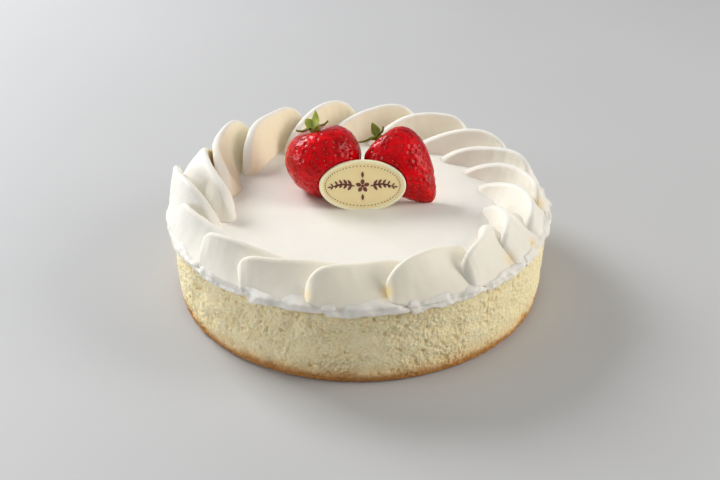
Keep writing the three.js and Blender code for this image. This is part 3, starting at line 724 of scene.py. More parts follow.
def hanging_sheet(index, petal, gap):
    """The closed sheet of cream under one petal: low after its head, higher toward the next."""
    span = gap * SHEET_OVERLAP
    even = np.linspace(0, 1, SHEET_STATIONS)
    angle = np.radians(petal["start"] + SHEET_LATE + span * even)
    around = turned(CAKE_RADIUS, angle, 0.0)
    length = np.radians(span) * CAKE_RADIUS
    start_end = round_end(even * length / SHEET_START_ROUNDING)
    ends = np.maximum(start_end * round_end((1 - even) * length / SHEET_END_ROUNDING), THINNEST)
    ragged = 1 + 0.55 * bumps(around, 9.0, index + 80.0) + 0.2 * bumps(around, 4.0, index + 81.0)
    hang = SHEET_HANG * smoothstep(even / 0.1) * (1 - 0.6 * even ** 1.3) * ragged
    hang = np.maximum(hang + 0.15 * bumps(around, 1.8, index + 82.0), 0.2)
    section = sheet_sections(index, petal, SHEET_LATE + span * even, around)
    radius = SHEET_MIDDLE[0] + (section[:, :, 0] - SHEET_MIDDLE[0]) * ends[:, None]
    level = SHEET_MIDDLE[1] + (section[:, :, 1] - SHEET_MIDDLE[1]) * ends[:, None]
    level = level - section[:, :, 2] * (hang * ends)[:, None]
    flat = turned(radius, angle[:, None], level).reshape(-1, 3)
    on_face = 1 - 0.5 * smoothstep((level - 45.5) / 4)
    loose = on_face * smoothstep((radius - 97.0) / 2.0) * ends[:, None]
    torn = 0.22 * bumps(flat, 1.6, 8.0).reshape(radius.shape) * smoothstep((45.5 - level) / 2)
    push = (clots(flat).reshape(radius.shape) + torn) * loose
    return loft(turned(radius + push, angle[:, None], level + 0.3 * push))


# %% Where a golden glow is painted into the creases
# The glow is painted colour: warm shade in the deep creases between petals, and low down the golden cake
# under thin cream.
# Each row is a place (x, y, z), how far its glow reaches and how strong it is.
PAINTED_GLOWS = [
    (-82.6, 21.5, 61.0, 5.5, 0.95), (-54.0, -86.0, 42.5, 2.4, 0.5), (-24.0, -97.5, 50.0, 3.0, 0.45),
    (13.1, -97.1, 51.0, 3.4, 0.7), (74.0, -68.0, 51.0, 3.2, 0.5), (88.5, -50.0, 48.5, 3.0, 0.55),
    (97.1, -14.6, 52.0, 3.2, 0.4)]


def painted_glow_share(points):
    """How strongly the golden crease glow is painted at each point, 0 to 1."""
    painted_crease_glow = np.zeros(len(points))
    for x, y, z, reach, strength in PAINTED_GLOWS:
        distance = np.linalg.norm(points - np.array([x, y, z]), axis=1)
        painted_crease_glow = np.maximum(painted_crease_glow, strength * np.exp(-(distance / reach) ** 2))
    return painted_crease_glow


# %% Build the cream layer
DISC_RADII = (92, 86, 78, 70, 60, 50, 40, 30, 20, 10, 4)


def spread_disc():
    turn = np.arange(CREAM_COLUMNS) / CREAM_COLUMNS
    edge = 44.0 + 0.5 * SKIRT_NOISE(turn) + 0.4 * SKIRT_SWELL(turn)
    swell = 0.45 * SKIRT_SWELL(turn + 0.31)
    sections = np.array([rounded(rim_section(e, s), SECTION_STEPS) for e, s in zip(edge, swell)])
    radius, level = sections[:, :, 0].T, sections[:, :, 1].T
    angle = turn * FULL_TURN
    flat = turned(radius, angle, level).reshape(-1, 3)
    push = 0.5 * clots(flat).reshape(radius.shape) * smoothstep((radius - 100.8) / 1.6)
    rim = turned(radius + push, angle, level + 0.35 * push)
    disc = []
    for reach in DISC_RADII:
        ring = turned(reach, angle, 0.0)
        ring[:, 2] = CREAM_TOP + 0.16 * bumps(ring, 34.0, 5.0)
        disc.append(ring)
    under = rim[0] * np.array([0.6, 0.6, 1])
    return loft(np.concatenate([[under], rim, disc]), (0, 0, UNDERSIDE), (0, 0, CREAM_TOP))


def cream_layer():
    gaps = [(PETALS[index - 1]["start"] - petal["start"]) % 360 for index, petal in enumerate(PETALS)]
    sheets = [hanging_sheet(index, petal, gaps[index]) for index, petal in enumerate(PETALS)]
    points, faces = joined([spread_disc(), *sheets])
    piece = new_object("cream_top", points, faces, [CREAM])
    # Stores the painted golden crease glow.
    store(piece, "painted_crease_glow", painted_glow_share(points))
    store(piece, "painted_backlight", np.zeros(len(points)))
    settle(piece, "cream", "cream_layer")


cream_layer()

# %% [markdown]
# The petals are built last of the cream, each from its own sections. Soft waves, a few pleats and
# the torn foot push their skin in and out along the section, which a Displace modifier could do
# too, but here the push can fade where the petal is smooth. A beige glow is painted on as light
# shining through the cream: strong on the inner faces at the back, where the window shines
# through, and weak on the faces at the front.

# %% Build the petals
def painted_backlight_share(petal):
    """One number per point of a section: how much beige backlight is painted on its outer and inner face."""
    at_the_back = smoothstep((petal["start"] - 10) / 80) * (petal["start"] < 150)
    at_the_front = max(0, -math.sin(math.radians(petal["start"] + 10))) ** 2
    below_top = np.linspace(0, 1, PETAL_LEVELS)[1:]
    # Painted backlight on the inner face, none at the top edge, which stays white.
    inner_face = (0.15 + 0.75 * at_the_back) * smoothstep(below_top / 0.3)
    return np.append(np.full(len(TUCK) + PETAL_LEVELS, 0.35 * at_the_front), inner_face)


def piped_petal(index, petal):
    rings, out = petal_rings(petal, index)
    flat = rings.reshape(-1, 3)
    ripple = 0.30 * bumps(flat, 9.0, index + 10.0) + 0.07 * bumps(flat, 2.6, index + 40.0)
    low = smoothstep((48.0 + 2.2 * bumps(flat, 13.0, 63.0) - flat[:, 2]) / 3.0)
    torn = low * smoothstep((np.linalg.norm(flat[:, :2], axis=1) - 96.0) / 4)
    ripple += 0.25 * torn * clots(flat)
    along = np.repeat(np.linspace(0, PETAL_LENGTH, PETAL_STATIONS), rings.shape[1])
    pleats = np.stack([along, 0.3 * flat[:, 2], np.full(len(flat), 5.0 * index)], axis=1)
    ripple += petal["ruffle"] * bumps(pleats, 2.8)
    # The painted golden crease glow; the outer face is also dented in a little there.
    painted_crease_glow = painted_glow_share(flat)
    outer_side = np.tile(np.arange(rings.shape[1]) < len(TUCK) + PETAL_LEVELS, PETAL_STATIONS)
    ripple -= 1.4 * painted_crease_glow * outer_side
    push = np.repeat(out, rings.shape[1], axis=0) * ripple[:, None]
    flat = flat + np.concatenate([push, np.zeros((len(flat), 1))], axis=1)
    points, faces = loft(flat.reshape(rings.shape))
    piece = new_object(f"cream_petal_{index:02d}", points, faces, [CREAM])
    store(piece, "painted_crease_glow", painted_glow_share(points))
    # Stores the painted beige backlight for the cream finish.
    store(piece, "painted_backlight", np.append(np.tile(painted_backlight_share(petal), PETAL_STATIONS), [0, 0]))
    settle(piece, "cream", f"petal_{index:02d}")


for number, numbers in enumerate(PETALS, start=1):
    piped_petal(number, numbers)

# %% [markdown]
# ## The strawberries
# A strawberry is a fat cone with seeds set in small dimples. Sculpting the dimples by hand would
# take hours, so the seeds are first spread over the skin by a rule, and each point of a fine mesh
# then sinks by its distance to the nearest seed, which a kd-tree finds quickly. A clear coat over
# the red skin is the glaze.

# %% Berry finishes
def berry_finish():
    finish, tree, shader = new_finish(
        "glazed_strawberry", Roughness=0.24, Specular_IOR_Level=0.15, Subsurface_Weight=0.12,
        Subsurface_Scale=0.0015, Subsurface_Radius=(1.0, 0.08, 0.06),
        Specular_Tint=(1.0, 0.14, 0.16, 1.0), Coat_Weight=0.6, Coat_Roughness=0.06, Coat_IOR=1.33)
    tone = add_mottle(tree, 110.0, 2.6, (0.36, 0.0005, 0.002), (0.82, 0.001, 0.006))
    # Painted shade: the seed dimples are coloured a darker red.
    colour = add_blend(tree, stored(tree, "dimple"), tone, (0.28, 0.001, 0.004))
    colour = add_blend(tree, stored(tree, "shoulder"), colour, (0.72, 0.20, 0.10))
    tree.links.new(colour, shader.inputs["Base Color"])
    add_grain(tree, shader, 0.9, 0.8, Lump_scale=620.0, Lumps=1.0, Pore_scale=1100.0, Pores=0.1)
    return finish


def seed_finish():
    finish, tree, shader = new_finish("strawberry_seed", Roughness=0.3, Coat_Weight=0.7, Coat_Roughness=0.08)
    tone = add_mottle(tree, 220.0, 3.0, (0.55, 0.03, 0.01), (0.78, 0.22, 0.06))
    tree.links.new(tone, shader.inputs["Base Color"])
    return finish


def flesh_finish():
    finish, tree, shader = new_finish(
        "strawberry_flesh", Roughness=0.35, Subsurface_Weight=0.6, Subsurface_Scale=0.004,
        Subsurface_Radius=(1.0, 0.3, 0.2))
    tone = add_mottle(tree, 200.0, 2.5, (0.80, 0.22, 0.16), (0.88, 0.52, 0.42))
    tree.links.new(tone, shader.inputs["Base Color"])
    add_grain(tree, shader, 0.2, 0.5, Lump_scale=380.0, Lumps=1.0, Pore_scale=800.0, Pores=0.3)
    return finish


BERRY = berry_finish()
SEED = seed_finish()
FLESH = flesh_finish()

# %% Berry formulas
WHOLE_BERRY = {"length": 40.5, "radius": 21.6, "cone": 0.1, "flat": 1.0, "seed": 5, "seeds": 210,
               "centre": (-19.2, 14.2, 64.2), "axis": (-0.25, 0.25, 0.93), "front": (0, -1, 0)}
HALF_BERRY = {"length": 47.1, "radius": 19.6, "cone": 0.36, "flat": 0.8, "seed": 8, "seeds": 240,
              "centre": (25.3, 7.9, 62.5), "axis": (-28.5, 19.6, 28.3), "front": (-0.1, -0.86, 0.5)}
BERRY_TURNS = 220
BERRY_RINGS = 170
BERRY_WAIST = 0.82
BERRY_FULLNESS = 0.92
CROWN_DEPTH = 2.4
CROWN_SPREAD = 0.12


def axis_frame(axis, toward):
    axis = Vector(axis).normalized()
    toward = Vector(toward)
    front = (toward - axis * toward.dot(axis)).normalized()
    return np.array([front, axis.cross(front), axis])


def berry_skin(berry, turn, polar):
    """Points on the smooth skin. `polar` is 0 at the tip and pi at the leaves."""
    cone, seed = berry["cone"], berry["seed"]
    shape = (BERRY_WAIST - cone * np.cos(polar)) / (BERRY_WAIST + cone * 0.45)
    wobble = 1 + 0.025 * np.sin(2 * turn + seed) + 0.015 * np.sin(3 * turn + 2 * seed)
    reach = berry["radius"] * np.sin(polar) ** BERRY_FULLNESS * shape * wobble
    crown = CROWN_DEPTH * np.exp(-(np.pi - polar) ** 2 / CROWN_SPREAD)
    level = -0.5 * berry["length"] * np.cos(polar) - crown
    local = np.stack([reach * np.cos(turn) * berry["flat"], reach * np.sin(turn), level], axis=-1)
    return local @ axis_frame(berry["axis"], berry["front"]) + np.array(berry["centre"])


def seed_places(berry):
    """Turn and polar angle of each seed: a golden-angle spiral, so that no two are close."""
    draw = random.Random(berry["seed"])
    count = berry["seeds"]
    order = (np.arange(count) + 0.5) / count
    polar = np.arccos(1 - 2 * (0.012 + 0.93 * order))
    turn = np.arange(count) * math.radians(137.508)
    turn = turn + np.array([draw.uniform(-0.16, 0.16) for _ in range(count)])
    polar = polar + np.array([draw.uniform(-0.025, 0.025) for _ in range(count)])
    return turn, polar


# %% Berry mesh with dimples
SEED_DIMPLE_WIDTH = 1.0
SEED_DIMPLE_DEPTH = 0.34
SEED_CLEARANCE = 0.6
FRUIT_SINK = 0.4
PRESS_MARGIN = 0.6
PRESS_GAP = 0.1
PLAQUE = {"width": 47.0, "height": 28.4, "thickness": 3.0, "rim": 1.5, "relief": 0.5, "lean": 16.0,
          "x": 2.0, "y": -10.8, "sink": 1.0}
PLAQUE_TILT = math.radians(PLAQUE["lean"])
PLAQUE_UP = Vector((0, math.sin(PLAQUE_TILT), math.cos(PLAQUE_TILT)))
PLAQUE_BACK = Vector((0, math.cos(PLAQUE_TILT), -math.sin(PLAQUE_TILT)))
PLAQUE_FOOT = Vector((PLAQUE["x"], PLAQUE["y"], CREAM_TOP - PLAQUE["sink"]))
PLAQUE_MIDDLE = PLAQUE_FOOT + PLAQUE_UP * (PLAQUE["height"] / 2)


def pressed_by_plaque(points):
    """Moves the fruit's points that would stand in the plaque to just behind it."""
    away = points - np.array(PLAQUE_MIDDLE)
    depth = away @ np.array(PLAQUE_BACK)
    across = away[:, 0] / (PLAQUE["width"] / 2 + PRESS_MARGIN)
    up = away @ np.array(PLAQUE_UP) / (PLAQUE["height"] / 2 + PRESS_MARGIN)
    behind = PLAQUE["thickness"] + PRESS_GAP
    inside = (across ** 2 + up ** 2 < 1) & (depth < behind)
    points[inside] += (behind - depth[inside])[:, None] * np.array(PLAQUE_BACK)
    print("points pressed back by the plaque:", int(inside.sum()))
    return points


def berry_points(berry):
    polar = np.pi * (np.arange(1, BERRY_RINGS) / BERRY_RINGS)
    turn = np.arange(BERRY_TURNS) / BERRY_TURNS * FULL_TURN
    grid_turn, grid_polar = np.meshgrid(turn, polar)
    rings = berry_skin(berry, grid_turn, grid_polar)
    middle = np.array(berry["centre"])
    flat = rings.reshape(-1, 3)
    seeds = berry_skin(berry, *seed_places(berry))
    tree = kdtree.KDTree(len(seeds))
    for index, place in enumerate(seeds):
        tree.insert(place, index)
    tree.balance()
    distance = np.array([tree.find(place)[2] for place in flat])
    dimple = np.exp(-(distance / SEED_DIMPLE_WIDTH) ** 2)
    swell = 0.14 * np.exp(-((distance - 2.0) / 0.9) ** 2)
    swell += 0.12 * bumps(flat, 2.4, berry["seed"] + 9.0)
    inward = middle - flat
    inward /= np.linalg.norm(inward, axis=1)[:, None]
    relief = SEED_DIMPLE_DEPTH * dimple - swell - 0.22 * bumps(flat, 7.0, berry["seed"])
    flat = flat + inward * relief[:, None]
    return flat.reshape(rings.shape), dimple, grid_polar.reshape(-1)


def cut_away(piece, point, normal, filling):
    """Cuts off what lies behind a plane and closes the cut with a face of its own finish."""
    work = bmesh.new()
    work.from_mesh(piece.data)
    whole = work.verts[:] + work.edges[:] + work.faces[:]
    cut = bmesh.ops.bisect_plane(work, geom=whole, dist=1e-7, plane_co=Vector(point) * MM,
                                 plane_no=Vector(normal), clear_inner=True)
    rim = [item for item in cut["geom_cut"] if isinstance(item, bmesh.types.BMEdge)]
    made = bmesh.ops.contextual_create(work, geom=rim)
    for face in made["faces"]:
        face.material_index = filling
        face.smooth = False
    bmesh.ops.triangulate(work, faces=made["faces"])
    bmesh.ops.recalc_face_normals(work, faces=work.faces)
    work.to_mesh(piece.data)
    work.free()


# %% Seeds as one joined mesh
SEED_LENGTH = 0.9
SEED_WIDTH = 0.4


def berry_seeds(name, berry, keep):
    """Small teardrops lying in the dimples, each turned toward the tip of the berry."""
    turn, polar = seed_places(berry)
    here = berry_skin(berry, turn, polar)
    ahead = berry_skin(berry, turn, np.maximum(polar - 0.02, 0.001))
    beside = berry_skin(berry, turn + 0.02, polar)
    rows = np.linspace(0.06, 0.94, 6)
    around = np.arange(10) / 10 * FULL_TURN
    parts = []
    for place, tip, side in zip(here, ahead, beside):
        long_way = (tip - place) / np.linalg.norm(tip - place)
        wide_way = (side - place) / np.linalg.norm(side - place)
        outward = np.cross(wide_way, long_way)
        outward /= np.linalg.norm(outward)
        if outward @ (place - np.array(berry["centre"])) < 0:
            outward = -outward
        middle = place - outward * (SEED_DIMPLE_DEPTH - 0.1)
        if not keep(middle):
            continue
        wide_way = np.cross(outward, long_way)
        half = 0.5 * SEED_WIDTH * np.sin(np.pi * rows) * (1.15 - 0.55 * rows)
        ring = (middle + long_way * ((rows - 0.5) * SEED_LENGTH)[:, None, None]
                + wide_way * (half[:, None] * np.cos(around))[:, :, None]
                + outward * (0.5 * half[:, None] * np.sin(around))[:, :, None])
        parts.append(loft(ring))
    piece = new_object(name, *joined(parts), [SEED])
    settle(piece, "strawberry")


# %% Build both strawberries
def strawberry(name, berry, node, plane=None):
    rings, dimple, polar = berry_points(berry)
    points, faces = loft(rings)
    points = pressed_by_plaque(points)
    piece = new_object(name, points, faces, [BERRY, FLESH])
    # The dimples are stored for the finish, which paints them darker as painted shade.
    store(piece, "dimple", 0.8 * np.append(dimple, [0, 0]))
    polar = np.append(polar, [0, np.pi])
    store(piece, "shoulder", 0.8 * smoothstep((polar - 2.72) / 0.35))
    cut_away(piece, (0, 0, CREAM_TOP - FRUIT_SINK), (0, 0, 1), 1)
    if plane is not None:
        cut_away(piece, berry["centre"], plane, 1)
    settle(piece, "strawberry", node)


HALF_PLANE = Vector(HALF_BERRY["front"]).normalized()


def clear_of_plaque(place):
    away = Vector(place) - PLAQUE_MIDDLE
    across = away.x / (PLAQUE["width"] / 2)
    up = away.dot(PLAQUE_UP) / (PLAQUE["height"] / 2)
    behind = away.dot(PLAQUE_BACK) > PLAQUE["thickness"] + SEED_CLEARANCE
    return place[2] > CREAM_TOP + SEED_CLEARANCE and (behind or across ** 2 + up ** 2 > 1.05)


def on_kept_half(place):
    from_cut = HALF_PLANE.dot(Vector(place) - Vector(HALF_BERRY["centre"]))
    return clear_of_plaque(place) and from_cut > SEED_CLEARANCE


strawberry("berry_whole", WHOLE_BERRY, "strawberry_whole")
berry_seeds("berry_whole_seeds", WHOLE_BERRY, clear_of_plaque)
strawberry("berry_half", HALF_BERRY, "strawberry_half", HALF_PLANE)
berry_seeds("berry_half_seeds", HALF_BERRY, on_kept_half)

# %% [markdown]
# ## The leaves
# Each strawberry keeps its calyx, a hub with small pointed leaflets: two fresh ones stand up on
# the whole berry, and the rest have dried and curled. A leaflet is a thin closed blade. It could
# be a flat plane with a Solidify modifier, but a blade built from two faces can be thicker along
# its midrib and have a toothed edge.

# %% Leaf finish
def leaf_finish():
    finish, tree, shader = new_finish(
        "berry_leaf", Roughness=0.45, Subsurface_Weight=0.25, Subsurface_Scale=0.001,
        Subsurface_Radius=(0.6, 1.0, 0.2), Specular_IOR_Level=0.4)
    fresh = add_mottle(tree, 320.0, 2.0, (0.33, 0.40, 0.03), (0.62, 0.64, 0.10))
    dark = add_mottle(tree, 320.0, 2.0, (0.05, 0.07, 0.010), (0.15, 0.16, 0.03))
    colour = add_blend(tree, stored(tree, "dried"), fresh, dark)
    colour = add_blend(tree, stored(tree, "vein"), colour, (0.42, 0.48, 0.12))
    tree.links.new(colour, shader.inputs["Base Color"])
    add_grain(tree, shader, 0.15, 0.6, Lump_scale=600.0, Lumps=1.0, Pore_scale=1400.0, Pores=0.4)
    return finish


LEAF = leaf_finish()

# %% Leaflets and calyx
LEAF_LONG = 30
LEAF_WIDE = 15
LEAF_THICKNESS = 0.55
HUB_HEIGHT = 1.6
HUB_LIFT = 0.35
BLADES_ABOVE_HUB = 0.75


def leaflet(length, width, turn, rise, curl, wave, twist=0.0, dried=0.0):
    """One blade from the origin outward: its rings, and its vein and dryness numbers."""
    along = np.linspace(0, 1, LEAF_LONG)
    over = np.linspace(-1, 1, LEAF_WIDE)
    grid_along, grid_over = np.meshgrid(along, over, indexing="ij")
    spread = width * 0.5 * (0.32 + 0.68 * np.sin(np.pi * (0.15 + 0.8 * along)))
    teeth = 1 + 0.10 * np.abs(np.sin(5.5 * np.pi * along)) * smoothstep(along * 3)
    reach = np.maximum(spread * (1 - along ** 5) ** 0.6 * teeth, 0.12)[:, None]
    bend = rise + curl * grid_along
    x = length * grid_along * np.cos(bend)
    fold = wave * np.sin(2.2 * np.pi * grid_along) + 0.18 * width * np.abs(grid_over) ** 1.3
    vein = np.exp(-(grid_over / 0.14) ** 2)
    slant = np.abs(np.sin(6.5 * np.pi * (grid_along - 0.22 * np.abs(grid_over)))) ** 6
    z = length * grid_along * np.sin(bend) + fold + 0.10 * slant
    half = 0.5 * LEAF_THICKNESS * (1 - 0.75 * np.abs(grid_over) ** 2) + 0.08 * vein
    faces = []
    for side in (1, -1):
        faces.append(np.stack([x - side * half * np.sin(bend), grid_over * reach,
                               z + side * half * np.cos(bend)], axis=2))
    rings = np.concatenate([faces[0], faces[1][:, ::-1]], axis=1)
    veins = np.clip(0.55 * vein + 0.25 * slant, 0, 1) * (1 - 0.7 * dried)
    numbers = np.concatenate([veins, veins[:, ::-1]], axis=1)
    lengthwise = Matrix.Rotation(twist, 3, Vector((math.cos(rise), 0, math.sin(rise))))
    spin = np.array(Matrix.Rotation(turn, 3, "Z") @ lengthwise)
    points, quads = loft(rings @ spin.T)
    return points, quads, np.append(numbers.reshape(-1), [0, 0]), np.full(len(points), dried)


def hub(radius, height):
    """The round base that carries the leaflets."""
    profile = [(0.5, -0.6), (0.85, 0.0), (1.0, 0.35 * height), (0.8, 0.8 * height), (0.4, height)]
    around = np.arange(24) / 24 * FULL_TURN
    rings = np.array([[(radius * r * math.cos(a), radius * r * math.sin(a), z) for a in around]
                      for r, z in profile])
    points, quads = loft(rings)
    return points, quads, np.zeros(len(points)), np.full(len(points), 0.35)


def calyx(name, berry, leaflets, hub_radius, node):
    base = hub(hub_radius, HUB_HEIGHT)
    blades = [leaflet(**values) for values in leaflets]
    raised = [(points + np.array([0, 0, BLADES_ABOVE_HUB]), faces) for points, faces, _, _ in blades]
    points, faces = joined([base[:2], *raised])
    axes = axis_frame(berry["axis"], berry["front"])
    seat = np.array(berry["centre"]) + axes[2] * (berry["length"] / 2 - CROWN_DEPTH + HUB_LIFT)
    piece = new_object(name, points @ axes + seat, faces, [LEAF])
    for place, label in ((2, "vein"), (3, "dried")):
        store(piece, label, np.concatenate([part[place] for part in (base, *blades)]))
    settle(piece, "leaf", node)


def leaf(length, width, turn_degrees, rise, curl, wave, twist=0.0, dried=0.0):
    return {"length": length, "width": width, "turn": math.radians(turn_degrees), "rise": rise,
            "curl": curl, "wave": wave, "twist": twist, "dried": dried}


WHOLE_LEAFLETS = [
    leaf(9.4, 4.8, 112, 1.12, 0.2, 0.3, twist=0.7),
    leaf(6.8, 5.0, 245, 0.85, 0.3, -0.3, twist=-0.7, dried=0.15),
    leaf(10.0, 4.6, 20, 0.1, 0.1, 0.5, dried=0.75), leaf(10.5, 4.4, 290, 0.06, 0.1, 0.5, dried=0.8),
    leaf(9.5, 4.4, 180, 0.2, 0.15, 0.5, dried=0.8), leaf(9.0, 4.0, 78, 0.15, 0.1, 0.4, dried=0.9)]
HALF_LEAFLETS = [
    leaf(8.2, 5.0, 100, 1.2, 0.2, 0.3, twist=1.1, dried=0.6),
    leaf(11.0, 2.8, 275, 0.55, -0.1, 0.5, twist=0.3, dried=0.5),
    leaf(7.5, 3.4, 60, 0.2, 0.1, 0.4, dried=0.9), leaf(7.5, 3.4, 330, 0.12, 0.1, 0.4, dried=0.85)]
calyx("berry_whole_leaves", WHOLE_BERRY, WHOLE_LEAFLETS, 3.4, "strawberry_whole_calyx")
calyx("berry_half_leaves", HALF_BERRY, HALF_LEAFLETS, 2.8, "strawberry_half_calyx")

# %% [markdown]
# ## The plaque
# The plaque is cast in a mould: an oval slab of ivory white chocolate with a softly rounded edge
# and a raised rim. Rings of an ellipse follow its section. The picture on its face is printed in
# cocoa, and here it is a blossom between two sprigs of leaves in a beaded oval, made as very thin
# flat shapes that lie on the face.

# %% Plaque finishes
def chocolate_finish():
    finish, tree, shader = new_finish(
        "white_chocolate", Roughness=0.38, Subsurface_Weight=0.4, Subsurface_Scale=0.002,
        Subsurface_Radius=(1.0, 0.7, 0.35), Specular_IOR_Level=0.4)
    tone = add_mottle(tree, 120.0, 1.6, (0.96, 0.77, 0.41), (1.0, 0.83, 0.48))
    colour = add_blend(tree, stored(tree, "rim"), tone, (0.97, 0.90, 0.64))
    tree.links.new(colour, shader.inputs["Base Color"])
    add_grain(tree, shader, 0.06, 0.4, Lump_scale=450.0, Lumps=1.0, Pore_scale=1800.0, Pores=0.3)
    return finish


def cocoa_finish():
    finish, tree, shader = new_finish("cocoa_print", Roughness=0.5)
    tone = add_mottle(tree, 500.0, 2.0, (0.13, 0.028, 0.016), (0.20, 0.05, 0.03))
    tree.links.new(tone, shader.inputs["Base Color"])
    return finish


CHOCOLATE = chocolate_finish()
COCOA = cocoa_finish()

# %% Build the plaque
PLAQUE_STEPS = 160


def on_plaque(x, y, depth):
    """A place on the plaque: x across, y up from its middle, depth behind the front."""
    return PLAQUE_MIDDLE + Vector((1, 0, 0)) * x + PLAQUE_UP * y + PLAQUE_BACK * depth


def plaque():
    thick, rim, relief = PLAQUE["thickness"], PLAQUE["rim"], PLAQUE["relief"]
    section = [(1.2, thick), (0.45, thick - 0.12), (0.1, thick - 0.5), (0, thick - 1.0), (0, 0.9),
               (0.08, 0.45), (0.3, 0.14), (0.6, 0.0), (0.9, 0.0), (rim - 0.35, 0.08),
               (rim, 0.3), (rim + 0.3, 0.46), (rim + 0.7, relief), (5.0, relief), (9.0, relief)]
    angle = np.arange(PLAQUE_STEPS) / PLAQUE_STEPS * FULL_TURN
    rings = []
    for inset, depth in section:
        wide, high = PLAQUE["width"] / 2 - inset, PLAQUE["height"] / 2 - inset
        rings.append([on_plaque(wide * math.cos(a), high * math.sin(a), depth) for a in angle])
    points, faces = loft(np.array(rings), on_plaque(0, 0, thick), on_plaque(0, 0, relief))
    piece = new_object("plaque_cast", points, faces, [CHOCOLATE])
    on_rim = [1.0 if inset <= rim and depth < thick / 2 else 0.0 for inset, depth in section]
    store(piece, "rim", np.append(np.repeat(on_rim, PLAQUE_STEPS), [0, 0]))
    settle(piece, "chocolate", "plaque")


plaque()

# %% Cocoa garland on the plaque
PRINT_THICKNESS = 0.12
BEADS = 64


def flat_shape(outline):
    """A thin closed tile on the plaque's face from an outline of (x, y) points."""
    face = PLAQUE["relief"]
    rings = np.array([[on_plaque(x, y, face + 0.05) for x, y in outline],
                      [on_plaque(x, y, face - PRINT_THICKNESS) for x, y in outline]])
    return loft(rings)


def oval(x, y, long_half, wide_half, angle, point=0.0, steps=22):
    """Outline of a dot or a leaf; `point` draws both ends out to a tip."""
    turn = np.arange(steps) / steps * FULL_TURN
    along = long_half * np.cos(turn)
    across = wide_half * np.sin(turn) * (1 - point * np.cos(turn) ** 2)
    c, s = math.cos(angle), math.sin(angle)
    return [(x + a * c - b * s, y + a * s + b * c) for a, b in zip(along, across)]


def sprig_line(along):
    """Distance from the middle and height of a sprig's arched stem, for 0 to 1 along it."""
    return 4.4 + 12.6 * along, 1.5 * np.sin(np.pi * along) - 0.6 * along


def stem(side):
    along = np.linspace(0, 1, 20)
    x, y = sprig_line(along)
    half = 0.30 - 0.12 * along
    upper = list(zip(side * x, y + half))
    return upper + list(zip(side * x, y - half))[::-1]


def cocoa_garland():
    shapes = [oval(0, 0, 0.8, 0.8, 0)]
    for index in range(5):
        angle = math.pi / 2 + index * FULL_TURN / 5
        shapes.append(oval(2.3 * math.cos(angle), 2.3 * math.sin(angle), 1.45, 1.05, angle, point=0.2))
    for side in (1, -1):
        shapes.append(stem(side))
        shapes.append(oval(0, side * 6.2, 1.7, 0.75, math.pi / 2, point=0.6))
        for index in range(5):
            x, y = sprig_line(0.12 + 0.2 * index)
            size = 1.75 - 0.17 * index
            for flip in (1, -1):
                slope = flip * 0.95
                middle = (side * (x + size * math.cos(slope)), y + size * math.sin(slope))
                shapes.append(oval(*middle, size, 0.42 * size, side * slope, point=0.6))
        x, y = sprig_line(1.0)
        shapes.append(oval(side * (x + 0.9), y, 1.1, 0.45, 0, point=0.6))
    for index in range(BEADS):
        angle = (index + 0.5) / BEADS * FULL_TURN
        shapes.append(oval(20.2 * math.cos(angle), 10.9 * math.sin(angle), 0.3, 0.3, 0, steps=10))
    points, faces = joined([flat_shape(outline) for outline in shapes])
    piece = new_object("plaque_print", points, faces, [COCOA], smooth=False)
    settle(piece, "chocolate")


cocoa_garland()

# %% [markdown]
# ## Floor, light and camera
# The cake stands on a plain pale floor. A large soft lamp behind it to the left gives the bright
# rims on the petals and a soft shadow toward the front right, as a window would. Four weak ones
# do the work of white cards: one at the left and two at the right lift the petals' shaded faces,
# and one above the front keeps the side of the cake readable.

# %% Floor
def pale_floor():
    finish, tree, shader = new_finish("pale_floor", Roughness=0.55, Specular_IOR_Level=0.3)
    tone = add_mottle(tree, 6.0, 0.8, (0.50, 0.50, 0.505), (0.55, 0.55, 0.555))
    tree.links.new(tone, shader.inputs["Base Color"])
    half = 2.6
    mesh = bpy.data.meshes.new("floor")
    corners = [(-half, -half, 0), (half, -half, 0), (half, half, 0), (-half, half, 0)]
    mesh.from_pydata(corners, [], [(0, 1, 2, 3)])
    floor = bpy.data.objects.new("floor", mesh)
    bpy.context.scene.collection.objects.link(floor)
    mesh.materials.append(finish)


pale_floor()

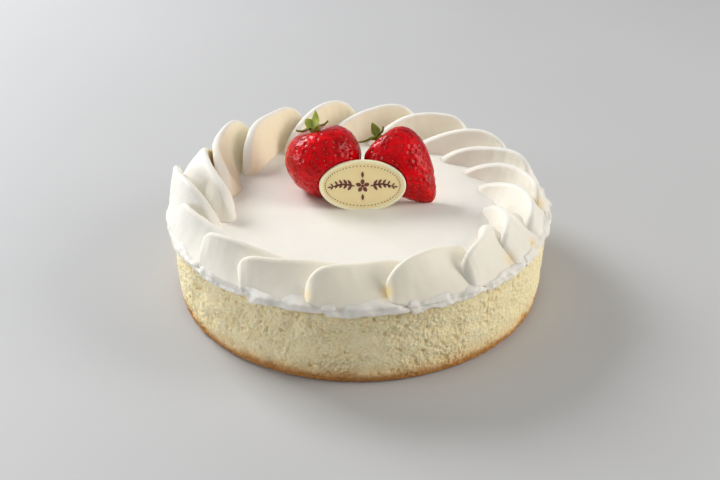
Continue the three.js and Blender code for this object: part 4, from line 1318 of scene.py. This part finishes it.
# %% Lamps
def soft_lamp(name, place, size, power, colour, aim=(0, 0, 0.05)):
    lamp = bpy.data.lights.new(name, "AREA")
    lamp.size, lamp.energy, lamp.color = size, power, colour
    holder = bpy.data.objects.new(name, lamp)
    holder.location = place
    holder.rotation_euler = (Vector(aim) - Vector(place)).to_track_quat("-Z", "Y").to_euler()
    bpy.context.scene.collection.objects.link(holder)


soft_lamp("window", (-0.95, 0.80, 0.95), 0.65, 20.5, (0.98, 0.99, 1.0))
soft_lamp("left_card", (-1.36, -0.26, 0.24), 0.6, 7.0, (0.97, 0.985, 1.0))
soft_lamp("right_card", (1.34, -0.38, 0.34), 0.6, 5.8, (1.0, 0.95, 0.86))
soft_lamp("high_card", (1.15, -0.10, 0.80), 0.6, 5.8, (1.0, 0.97, 0.92))
soft_lamp("ceiling", (0.2, -1.0, 1.6), 1.6, 2.0, (1.0, 0.96, 0.90))
world = bpy.data.worlds.new("soft_room")
world.use_nodes = True
world.node_tree.nodes["Background"].inputs["Color"].default_value = (0.97, 0.98, 1.0, 1)
world.node_tree.nodes["Background"].inputs["Strength"].default_value = 0.3
bpy.context.scene.world = world
bpy.context.scene.view_settings.view_transform = "Standard"

# %% Camera
CAMERA_PITCH = math.radians(30.81)
CAMERA_ROLL = math.radians(-0.57)
CAMERA_DISTANCE = 607.2
CAMERA_TARGET = Vector((0.30, 36.44, 0.0))


def photo_camera():
    cos, sin = math.cos(CAMERA_PITCH), math.sin(CAMERA_PITCH)
    ahead, right, up = Vector((0, cos, -sin)), Vector((1, 0, 0)), Vector((0, sin, cos))
    right_rolled = right * math.cos(CAMERA_ROLL) + up * math.sin(CAMERA_ROLL)
    up_rolled = up * math.cos(CAMERA_ROLL) - right * math.sin(CAMERA_ROLL)
    place = (CAMERA_TARGET - ahead * CAMERA_DISTANCE) * MM
    camera = bpy.data.objects.new("camera", bpy.data.cameras.new("camera"))
    camera.data.lens, camera.data.sensor_width = 50.0, 36.0
    camera.matrix_world = Matrix((right_rolled, up_rolled, -ahead)).transposed().to_4x4()
    camera.location = place
    bpy.context.scene.collection.objects.link(camera)
    bpy.context.scene.camera = camera


photo_camera()
